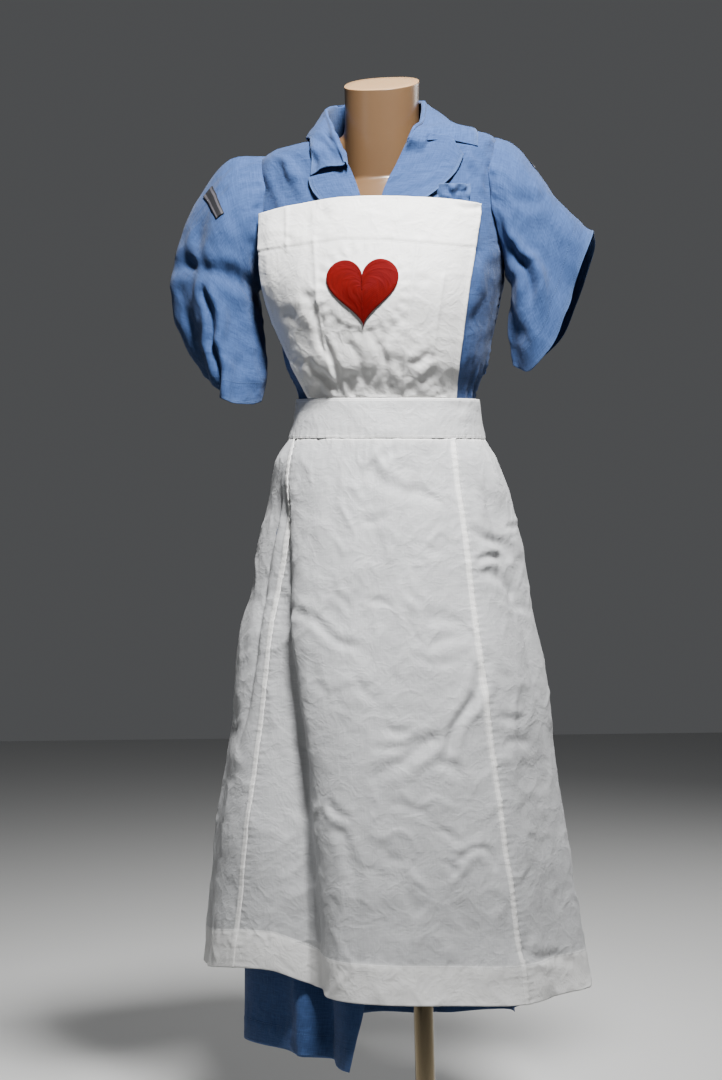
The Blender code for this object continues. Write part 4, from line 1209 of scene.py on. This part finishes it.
# Furrows: x at heights, depth at the deepest, and reach to each side, in millimetres
Furrow = namedtuple("Furrow", "path depth left right")
FURROWS = [
    Furrow([(.262, -.130), (.366, -.130), (.457, -.132), (.586, -.139), (.678, -.149),
            (.783, -.159), (.904, -.161), (.965, -.158)], 13, 30, 9),
    Furrow([(.610, -.228), (.636, -.222), (.721, -.207), (.854, -.192), (.950, -.170),
            (.985, -.162)], 9, 16, 5),
    Furrow([(.600, .178), (.627, .175), (.686, .166), (.781, .152), (.858, .128),
            (.962, .105)], 6, 7, 14),
    Furrow([(.280, .085), (.340, .083), (.430, .080)], 5, 40, 40),
]
APRON_CREASES = table(Crease, [
    (-.150, .783, -.101, .761, 7, 1.6),
    (-.101, .761, -.055, .734, 6, 1.4),
    (-.086, .805, -.062, .775, 5, 1.0),
    (-.043, .793, -.011, .788, 5, 1.0),
    (.006, .818, .028, .788, 6, 1.2),
    (.007, .789, .019, .755, 7, 1.0),
    (.035, .773, .089, .749, 9, 1.4),
    (.039, .734, .082, .743, 7, 1.2),
    (.020, .722, .071, .712, 6, 0.9),
    (.102, .703, .087, .653, 7, 3.2),
    (.087, .653, .063, .598, 6, 3.0),
    (.052, .618, .005, .586, 8, 2.0),
    (.005, .586, -.033, .565, 8, 1.2),
    (.049, .585, .079, .569, 7, 1.5),
    (-.094, .535, -.065, .517, 6, 1.6),
    (-.082, .503, -.067, .477, 7, 1.2),
    (-.067, .477, -.069, .350, 9, 1.4),
    (.051, .501, .073, .481, 5, 1.2),
    (.074, .461, .105, .475, 5, 1.3),
    (.105, .475, .119, .448, 5, 1.5),
    (.058, .460, .070, .440, 5, 1.1),
    (-.032, .964, .002, .993, 7, 1.3),
    (-.034, .962, .004, .936, 8, 1.2),
    (.006, .934, .055, .922, 9, 1.5),
    (-.047, .897, -.017, .901, 6, 0.9),
    (.035, .862, .057, .854, 6, 0.8),
    (-.087, .679, -.082, .657, 8, 1.0),
    (-.017, .631, .012, .626, 6, 1.2),
    (.111, .718, .135, .686, 6, 1.0),
    (.126, .639, .150, .632, 6, 1.6),
    (.150, .632, .156, .599, 6, 1.4),
    (.156, .599, .134, .606, 6, 1.0),
    (.093, .883, .131, .864, 6, 2.4),
    (.131, .864, .140, .839, 5, 2.6),
    (.100, .841, .128, .843, 5, 2.4),
    (.128, .843, .143, .797, 6, 3.0),
    (.143, .797, .150, .774, 6, 2.4),
    (.104, .826, .128, .813, 7, 2.0),
    (.089, .940, .117, .912, 9, 1.6),
    (.136, .884, .144, .880, 5, 1.8),
    (-.149, .604, -.133, .575, 7, 1.0),
    (.152, .342, .180, .321, 6, 1.6),
    (.156, .356, .166, .306, 6, 1.5),
    (.180, .321, .210, .299, 7, 1.2),
    (-.032, .605, .027, .619, 6, 0.9),
    (-.055, .694, -.032, .667, 6, 0.9),
    (-.011, .535, .037, .519, 7, 0.8),
    (-.026, .488, .003, .458, 8, 0.7),
    (.003, .437, .025, .400, 8, 0.8),
    (-.117, .716, -.097, .679, 8, 0.8),
])

apron_cotton = cotton(
    "starched white cotton", pale=(0.485, 0.49, 0.495), deep=(0.405, 0.41, 0.42),
    edge_wear_and_highlight_colour=(0.86, 0.85, 0.825), edge_wear_and_highlight_share=0.6, threads=760.0, slub_length=60.0,
    bump=0.30, roughness=0.50, thread_colour=(0.93, 0.93, 0.92), crumple_bump=0.38)


def furrowed(points, rows):
    """Depth in metres of the long furrows on the front of a piece."""
    x, z = points[..., 0], points[..., 2]
    depth = np.zeros(x.shape)
    for row in rows:
        heights, places = zip(*row.path)
        off = (x - np.interp(z, heights, places)) * 1000
        ends = smooth(z, heights[0] - 0.03, heights[0] + 0.03)
        ends = ends * (1 - smooth(z, heights[-1] - 0.06, heights[-1]))
        reach = np.where(off < 0, row.left, row.right)
        depth += row.depth / 1000 * ends * np.exp(-(np.abs(off) / reach) ** 1.15)
    return depth * (1 - smooth(points[..., 1], 0.02, 0.07))


def starched(u, v, seed):
    """The fine crumple of starched cotton: broad hollows, small ones, and sharp lines."""
    hollows = wrinkled(u, v, seed, STARCHED_HOLLOWS)
    sharp = crumple(u, v, 0.050, seed + 3, True) + crumple(u, v, 0.032, seed + 4, True)
    return np.maximum(hollows + 0.0016 * np.clip(sharp, -0.3, 1.0), -0.0055)


def seam_angle(z, x):
    """The angle at which the front of the apron has this x."""
    return solve(math.radians(-89), math.radians(89),
                 lambda a: at_radius(z, a, apron_radius(z, a)).x > x)


def gore(low_edge, high_edge, low_lap, high_lap):
    """A gore between two edges with its laps, from its hem up to the waistband."""
    def point(u, v):
        z = APRON_HEM + (BAND_BOTTOM - BAND_GAP - APRON_HEM) * v
        low, high = low_edge(z) - low_lap, high_edge(z) + high_lap
        angle = low + (high - low) * u
        spot = at_radius(z, angle, apron_radius(z, angle))
        spot.z = tilted(spot.z, spot.x, HEM_SLOPE * (1 - v) + BAND_SLOPE * v)
        beside = math.degrees(angle) - LIFT_ANGLE
        beside /= LIFT_BEHIND if beside < 0 else LIFT_AHEAD
        spot.z += HEM_LIFT * (1 - v) ** 2 * math.exp(-beside ** 2)
        return spot
    return point


def seam_distance(points, which):
    """Distance across the front from a gore seam, the same for both of its gores."""
    heights, left, right = zip(*reversed(GORE_SEAMS))
    x = np.interp(points[..., 2], heights, (left, right)[which])
    return np.where(points[..., 1] < 0.03, np.abs(points[..., 0] - x), 1.0)


def gore_relief(under_left, under_right):
    """Furrows, creases and crumple, the seams' welts and puckers, and the doubled hem.

    The crumple is laid by the place round the body, so it runs on over the seams. A side
    that goes under its neighbour is pressed flat there.
    """
    def relief(points, u, v):
        x, y, z = points[..., 0], points[..., 1], points[..., 2]
        round_ = ROUND_RADIUS * np.unwrap(np.arctan2(x - ROUND_MIDDLE, -y), axis=1)
        top = v.max() - v
        softer = 1 - 0.55 * smooth(y, -0.04, 0.05)
        body = (softer * starched(round_, z, 71) - 1.35 * creased(points, APRON_CREASES)
                - furrowed(points, FURROWS))
        body = body * smooth(top, 0.0, 0.03)
        for which, height in ((0, 0.0006), (1, 0.0008)):
            body = body + seam_pucker(seam_distance(points, which), z, 0.009, 0.006, height)
        body = body + 0.0008 * (1 - smooth(v - HEM_BAND, -0.0015, 0.0015))
        body = body + seam_pucker(np.abs(v - HEM_BAND), round_, 0.016, 0.012, 0.0007)
        body = body + 0.0010 * crumple(round_, z * 0.15, 0.011, 77) * np.exp(-top / 0.03)
        for is_under, side in ((under_left, u - u[:, :1]), (under_right, u[:, -1:] - u)):
            if is_under:
                body = body - 0.0012 * (1 - smooth(side, LAP_WIDTH, LAP_WIDTH + 0.003))
            else:
                body = body + 0.0016 * (1 - smooth(side, *WELT))
        return body
    return relief


def gore_stitch(under_left, under_right):
    """Stitch lines: the hem's, and two along each side that lies over its neighbour."""
    def stitch(points, u, v):
        lines = [v - HEM_BAND]
        for is_under, side in ((under_left, u), (under_right, u[:, -1:] - u)):
            if not is_under:
                lines += [side - place for place in FELL_STITCHES]
        return nearest(*lines)
    return stitch


def gore_layers_and_highlight(under_left, under_right):
    """Where the gore is doubled and painted paler: its hem, and a seam that it lies over, whose
    raised welt is painted paler also as a painted highlight.
    """
    def doubled(points, u, v):
        pale_mask = 0.7 * (1 - smooth(v - HEM_BAND, -0.001, 0.001))
        for is_under, side in ((under_left, u), (under_right, u[:, -1:] - u)):
            if not is_under:
                # Painted highlight mixed with doubling: the welt is painted paler for its layers
                # and as light on its raised edge.
                pale_mask = np.maximum(pale_mask, 1 - smooth(side, *WELT))
        return pale_mask
    return doubled


def seam(which):
    return lambda z: seam_angle(z, between(GORE_SEAMS, z)[which])


def back_edge(sign):
    return lambda z: sign * math.radians(between(BACK_EDGE, z)[0])


for name, node, low_edge, high_edge, cells, laps in (
        ("apron_front_gore", "apron_skirt_front", seam(0), seam(1), 140, (1, 0)),
        ("apron_right_gore", "apron_skirt_side_right", back_edge(-1), seam(0), 120, (0, 0)),
        ("apron_left_gore", "apron_skirt_side_left", seam(1), back_edge(1), 120, (1, 0))):
    net = sampled(gore(low_edge, high_edge, LAP * laps[0], LAP * laps[1]), cells // 4, 30)
    piece = cloth(name, net, cells, 250, apron_cotton, gore_relief(*laps),
                  worn=(1, 1, not laps[0], not laps[1]), stitch=gore_stitch(*laps),
                  doubled=gore_layers_and_highlight(*laps))
    declare(node)

# Apron waistband: a straight doubled strip that goes once round the waist and buttons at
# the middle of the back. Both of its edges are stitched.
BAND_WRINKLES = [Wrinkle(.0007, .012, 0.25, 1), Wrinkle(.0005, .020, 1, 1)]
BAND_STITCH = 0.004   # from each edge
BAND_SHARE = 0.998    # of the way round the waist


def band_point(u, v):
    angle = math.pi * (2 * u - 1) * BAND_SHARE
    z = BAND_BOTTOM + (BAND_TOP - BAND_BOTTOM) * v
    spot = at_radius(z, angle, skirt_radius(APRON_RINGS, [], z, angle))
    spot.z = tilted(spot.z, spot.x, BAND_SLOPE)
    return spot


def band_relief(points, u, v):
    """Faint creases along the band, and puckers where the gathers press through it."""
    puckers = seam_pucker(v, u, 0.012, 0.010, 0.0005)
    edges = smooth(v, 0, BAND_STITCH) * smooth(v.max() - v, 0, BAND_STITCH)
    return wrinkled(u, v, 85, BAND_WRINKLES) + puckers + 0.0006 * edges


piece = cloth("apron_waistband_strip", sampled(band_point, 96, 4), 420, 26, apron_cotton,
              band_relief, 0.0020,
              stitch=lambda points, u, v: nearest(v - BAND_STITCH, v.max() - v - BAND_STITCH),
              doubled=lambda points, u, v: 0.12 + 0.4 * smooth(BAND_STITCH - v, -0.001, 0.001))
declare("apron_waistband")

# The band's button: a flat round one of off-white plastic, with a slightly worn shine.
button_finish, button_shader = plain_material("off-white plastic", (0.72, 0.71, 0.67), 0.3)
tree = button_finish.node_tree
place = add_node(tree, "ShaderNodeTexCoord").outputs["Object"]
worn_shine = ranged(tree, noise(tree, place, 300.0, 3.0), 0.3, 0.7, 0.25, 0.42)
tree.links.new(worn_shine, button_shader.inputs["Roughness"])
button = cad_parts["apron_back_button"]
button.data.materials.clear()
button.data.materials.append(button_finish)

# Apron bib: one starched panel, gathered into the band at its foot and held up to the
# dress at its corners. A deep doubled band runs across its top.
BIB_EDGES = table(Line, [
    (1.3080, -.1860, .1120),
    (1.2680, -.1870, .1070),
    (1.2290, -.1865, .1020),
    (1.1900, -.1800, .0950),
    (1.1500, -.1690, .0880),
    (1.1030, -.1480, .0800),
    (1.0610, -.1260, .0720),
])
BIB_RISE = 0.0130
BIB_LIFT, OVER_LAPELS, OVER_SLEEVE, FOOT_DROP = 0.0062, 0.0032, 0.0075, 0.0017
BIB_HEM, BIB_HEM_WELT = 0.009, (0.008, 0.0095)
BIB_SEAM = [(-.190, 1.257), (-.142, 1.259), (-.061, 1.264), (-.007, 1.262), (.036, 1.257),
            (.107, 1.249)]
PRESS_LINES = [
    [(1.065, -.080), (1.119, -.094), (1.171, -.099), (1.263, -.104)],
    [(1.073, .007), (1.158, .020), (1.257, .034)],
    [(1.115, .048), (1.209, .065)],
    [(1.259, -.143), (1.308, -.144)],
]
BIB_CREASES = table(Crease, [
    (-.120, 1.196, -.100, 1.158, 7, 2.0),
    (-.100, 1.158, -.091, 1.119, 6, 2.4),
    (-.091, 1.119, -.080, 1.064, 5, 2.4),
    (-.120, 1.108, -.101, 1.089, 6, 2.2),
    (-.101, 1.089, -.081, 1.062, 5, 2.6),
    (-.147, 1.115, -.132, 1.102, 7, 1.4),
    (-.065, 1.129, -.047, 1.100, 7, 1.4),
    (-.047, 1.100, -.041, 1.085, 6, 1.2),
    (-.021, 1.124, -.036, 1.078, 5, 1.8),
    (-.020, 1.125, -.017, 1.077, 5, 1.4),
    (-.015, 1.103, .008, 1.098, 9, 1.2),
    (.020, 1.098, .044, 1.113, 6, 1.8),
    (.030, 1.074, .048, 1.093, 6, 1.4),
    (-.155, 1.171, -.136, 1.165, 7, 1.2),
    (-.120, 1.179, -.104, 1.171, 6, 1.0),
    (-.069, 1.082, -.042, 1.083, 7, 1.6),
    (.015, 1.158, -.007, 1.137, 6, 0.9),
    (.032, 1.207, .047, 1.209, 6, 0.9),
    (-.145, 1.290, -.142, 1.268, 6, 0.8),
    (.081, 1.305, .105, 1.302, 4, 1.4),
    (.105, 1.302, .116, 1.308, 4, 1.2),
    (-.095, 1.311, -.083, 1.293, 6, 0.6),
    (-.119, 1.292, -.107, 1.276, 7, 0.5),
    (-.062, 1.061, -.056, 1.077, 5, 1.5),
    (-.013, 1.059, -.008, 1.077, 5, 1.3),
    (.019, 1.058, .018, 1.075, 5, 1.4),
    (.040, 1.058, .045, 1.072, 5, 1.0),
    (-.105, 1.063, -.109, 1.079, 5, 1.6),
])
HEART_X, HEART_Z, HEART_HALF = -.0390, 1.1960, .0480


def ramp(value, start, run):
    """An even rise from 0 at start to 1 at the end of the run."""
    return max(0.0, min(1.0, (value - start) / run))


def bib_lift(x, z):
    """How far the bib's outer face stands off the bodice: more over lapels and sleeve."""
    lapels = ramp(z, 1.265, 0.030) * ramp(x, -0.105, 0.020) * ramp(-x, -0.060, 0.020)
    sleeve = ramp(-x, 0.150, 0.030) * ramp(z, 1.15, 0.06)
    foot = max(0.0, (1.095 - z) / 0.040)
    return BIB_LIFT + OVER_LAPELS * lapels + OVER_SLEEVE * sleeve - FOOT_DROP * foot


def bib_point(u, v):
    foot = BAND_TOP + BAND_GAP
    bow = BIB_RISE * (1 - (2 * u - 1) ** 2) * v ** 6
    z = foot + (BIB_EDGES[0].z - foot) * v
    left, right = between(BIB_EDGES, z)
    x = left + (right - left) * u
    level = tilted(z + bow, x, BAND_SLOPE * (1 - v))
    return chest_point(x, level, bib_lift(x, level))


def bib_seam_height(points):
    """Height above the seam of the bib's top band."""
    return points[..., 2] - np.interp(points[..., 0], *zip(*BIB_SEAM))


def bib_relief(points, u, v):
    """Press lines, creases and crumple, gathers at the foot and puckers round the heart."""
    x, z = points[..., 0], points[..., 2]
    body = np.maximum(starched(u, v, 91) * 0.55 - 1.3 * creased(points, BIB_CREASES), -0.0034)
    for path in PRESS_LINES:
        off = x - np.interp(z, *zip(*path))
        ends = smooth(z, path[0][0] - 0.01, path[0][0]) * (1 - smooth(z, path[-1][0],
                                                                      path[-1][0] + 0.01))
        body = body + 0.0026 * ends * np.exp(-np.abs(off) / 0.003)
    from_heart = np.hypot(x - HEART_X, z - HEART_Z) / HEART_HALF
    round_heart = np.arctan2(z - HEART_Z, x - HEART_X)
    puckers = 0.0006 * np.sin(round_heart * 23) * np.exp(-((from_heart - 1.15) / 0.25) ** 2)
    body = (body + puckers) * smooth(from_heart, 0.95, 1.15)
    above = bib_seam_height(points)
    band = 0.0010 * smooth(above, -0.001, 0.001) - 0.0010 * np.exp(-(above / 0.002) ** 2)
    gathers = 0.0022 * crumple(u, v * 0.12, 0.008, 97) * np.exp(-v / 0.024)
    side = np.minimum(u - u[:, :1], u[:, -1:] - u)
    hem = 0.0006 * (1 - smooth(side, *BIB_HEM_WELT))
    return body * smooth(v, 0, 0.012) + band + gathers * smooth(v, 0, 0.003) + hem


def bib_layers_and_light(points, u, v):
    """The whole bib is painted paler than the skirt, partly for its lining and partly as painted
    light, the brighter light high on the chest; its top band and side hems are thicker and paler
    still.
    """
    side = np.minimum(u - u[:, :1], u[:, -1:] - u)
    pale_mask = np.maximum(smooth(bib_seam_height(points), -0.001, 0.001),
                       1 - smooth(side, *BIB_HEM_WELT))
    # Painted light mixed with lining: the bib is painted paler all over.
    return 0.75 + 0.25 * pale_mask


def bib_stitch(points, u, v):
    return nearest(bib_seam_height(points) + 0.0015, u - BIB_HEM, u[:, -1:] - u - BIB_HEM,
                   v.max() - v - 0.003)


piece = cloth("apron_bib_panel", sampled(bib_point, 20, 18), 150, 130, apron_cotton,
              bib_relief, stitch=bib_stitch, doubled=bib_layers_and_light)
declare("apron_bib")

# Applique: a plain red cotton heart, its edge turned under and sewn down on the bib.
red_cotton = cotton(
    "red cotton", pale=(0.105, 0.0006, 0.0008), deep=(0.070, 0.0004, 0.0005),
    edge_wear_and_highlight_colour=(0.15, 0.004, 0.004), edge_wear_and_highlight_share=0.5, threads=700.0, slub_length=40.0,
    bump=0.4, roughness=0.75, thread_colour=(0.11, 0.001, 0.001), crumple_bump=0.35)
red_shader = red_cotton.node_tree.nodes["Principled BSDF"]
red_shader.inputs["Sheen Weight"].default_value = 0.0
red_shader.inputs["Specular IOR Level"].default_value = 0.08


def heart_point(u, v):
    """The heart, from its outline at v 0 to its middle at v 1."""
    t = -math.tau * u
    wide = math.sin(t) ** 3
    tall = (13 * math.cos(t) - 5 * math.cos(2 * t) - 2 * math.cos(3 * t)
            - math.cos(4 * t)) / 16
    x = HEART_X + HEART_HALF * wide * (1 - v)
    z = HEART_Z + HEART_HALF * (tall + 0.1) * (1 - v)
    return chest_point(x, z, bib_lift(x, z) + 0.0020)


def heart_relief(points, u, v):
    edge = smooth(v, 0, 0.0022)
    pucker = np.abs(seam_pucker(np.abs(v - 0.003), u, 0.007, 0.006, 0.0004))
    return 0.0007 * edge + pucker + 0.0003 * crumple(u, v, 0.012, 95) * edge


piece = cloth("apron_heart_applique", sampled(heart_point, 64, 4), 160, 24, red_cotton,
              heart_relief, 0.0008, (1, 0, 0, 0), hem_stitch(0.0032), closed=True)
declare("apron_motif")

# Sleeve badges: small dark cloth tabs with two woven stripes, sewn slantwise high on each
# sleeve. They are plain ones that name nobody.
BADGE_RUN = (0.135, 0.012)
BADGE_RISE = (-0.033, 0.045)
STRIPE_WAVES = 560.0   # radians in a metre


def badge_material():
    made, shader = plain_material("badge cloth", (0.02, 0.02, 0.03), 0.8)
    nodes = made.node_tree
    uv = add_node(nodes, "ShaderNodeUVMap", uv_map="cloth").outputs["UV"]
    height = add_node(nodes, "ShaderNodeSeparateXYZ", {"Vector": uv}).outputs["Y"]
    wave = maths(nodes, "SINE", maths(nodes, "MULTIPLY", height, STRIPE_WAVES))
    striped = mixed(nodes, ranged(nodes, wave, 0.55, 0.75), (0.008, 0.008, 0.011),
                    (0.075, 0.07, 0.08))
    nodes.links.new(striped, shader.inputs["Base Color"])
    relief = bumped(nodes, woven(nodes, 900.0, 90.0)["Height"], 0.5, 0.0006)
    nodes.links.new(relief, shader.inputs["Normal"])
    return made


badge_finish = badge_material()


def on_cloth(piece, u, v):
    """A place on a finished piece, and its outward normal there."""
    rows, columns = piece.points.shape[0] - 1, piece.points.shape[1] - 1
    y, x = min(v * rows, rows - 1.001), (u % 1.0) * columns
    j, i = int(y), min(int(x), columns - 1)
    a, b, c, d = (Vector(piece.points[j + k, i + m]) for k, m in ((0, 0), (0, 1), (1, 0), (1, 1)))
    low, high = a.lerp(b, x - i), c.lerp(d, x - i)
    return low.lerp(high, y - j), (b - a).cross(c - a).normalized()


def badge_point(wearing, turn, up):
    def point(u, v):
        a = turn + (u - 0.5) * BADGE_RUN[0] + (v - 0.5) * BADGE_RUN[1]
        b = up - (u - 0.5) * BADGE_RISE[0] + (v - 0.5) * BADGE_RISE[1]
        spot, out = on_cloth(wearing, a, b)
        return spot + out * 0.0016
    return point


for name, node, sleeve, turn, up in (
        ("badge_right", "sleeve_badge_right", "dress_sleeve_right", 0.138, 0.735),
        ("badge_left", "sleeve_badge_left", "dress_sleeve_left", 0.050, 0.70)):
    piece = cloth(name, sampled(badge_point(sleeves[sleeve], turn, up), 10, 6), 40, 24,
                  badge_finish, lambda points, u, v: 0.0003 * smooth(
                      np.minimum(v, v.max() - v), 0, 0.002), 0.0008)
    declare(node)
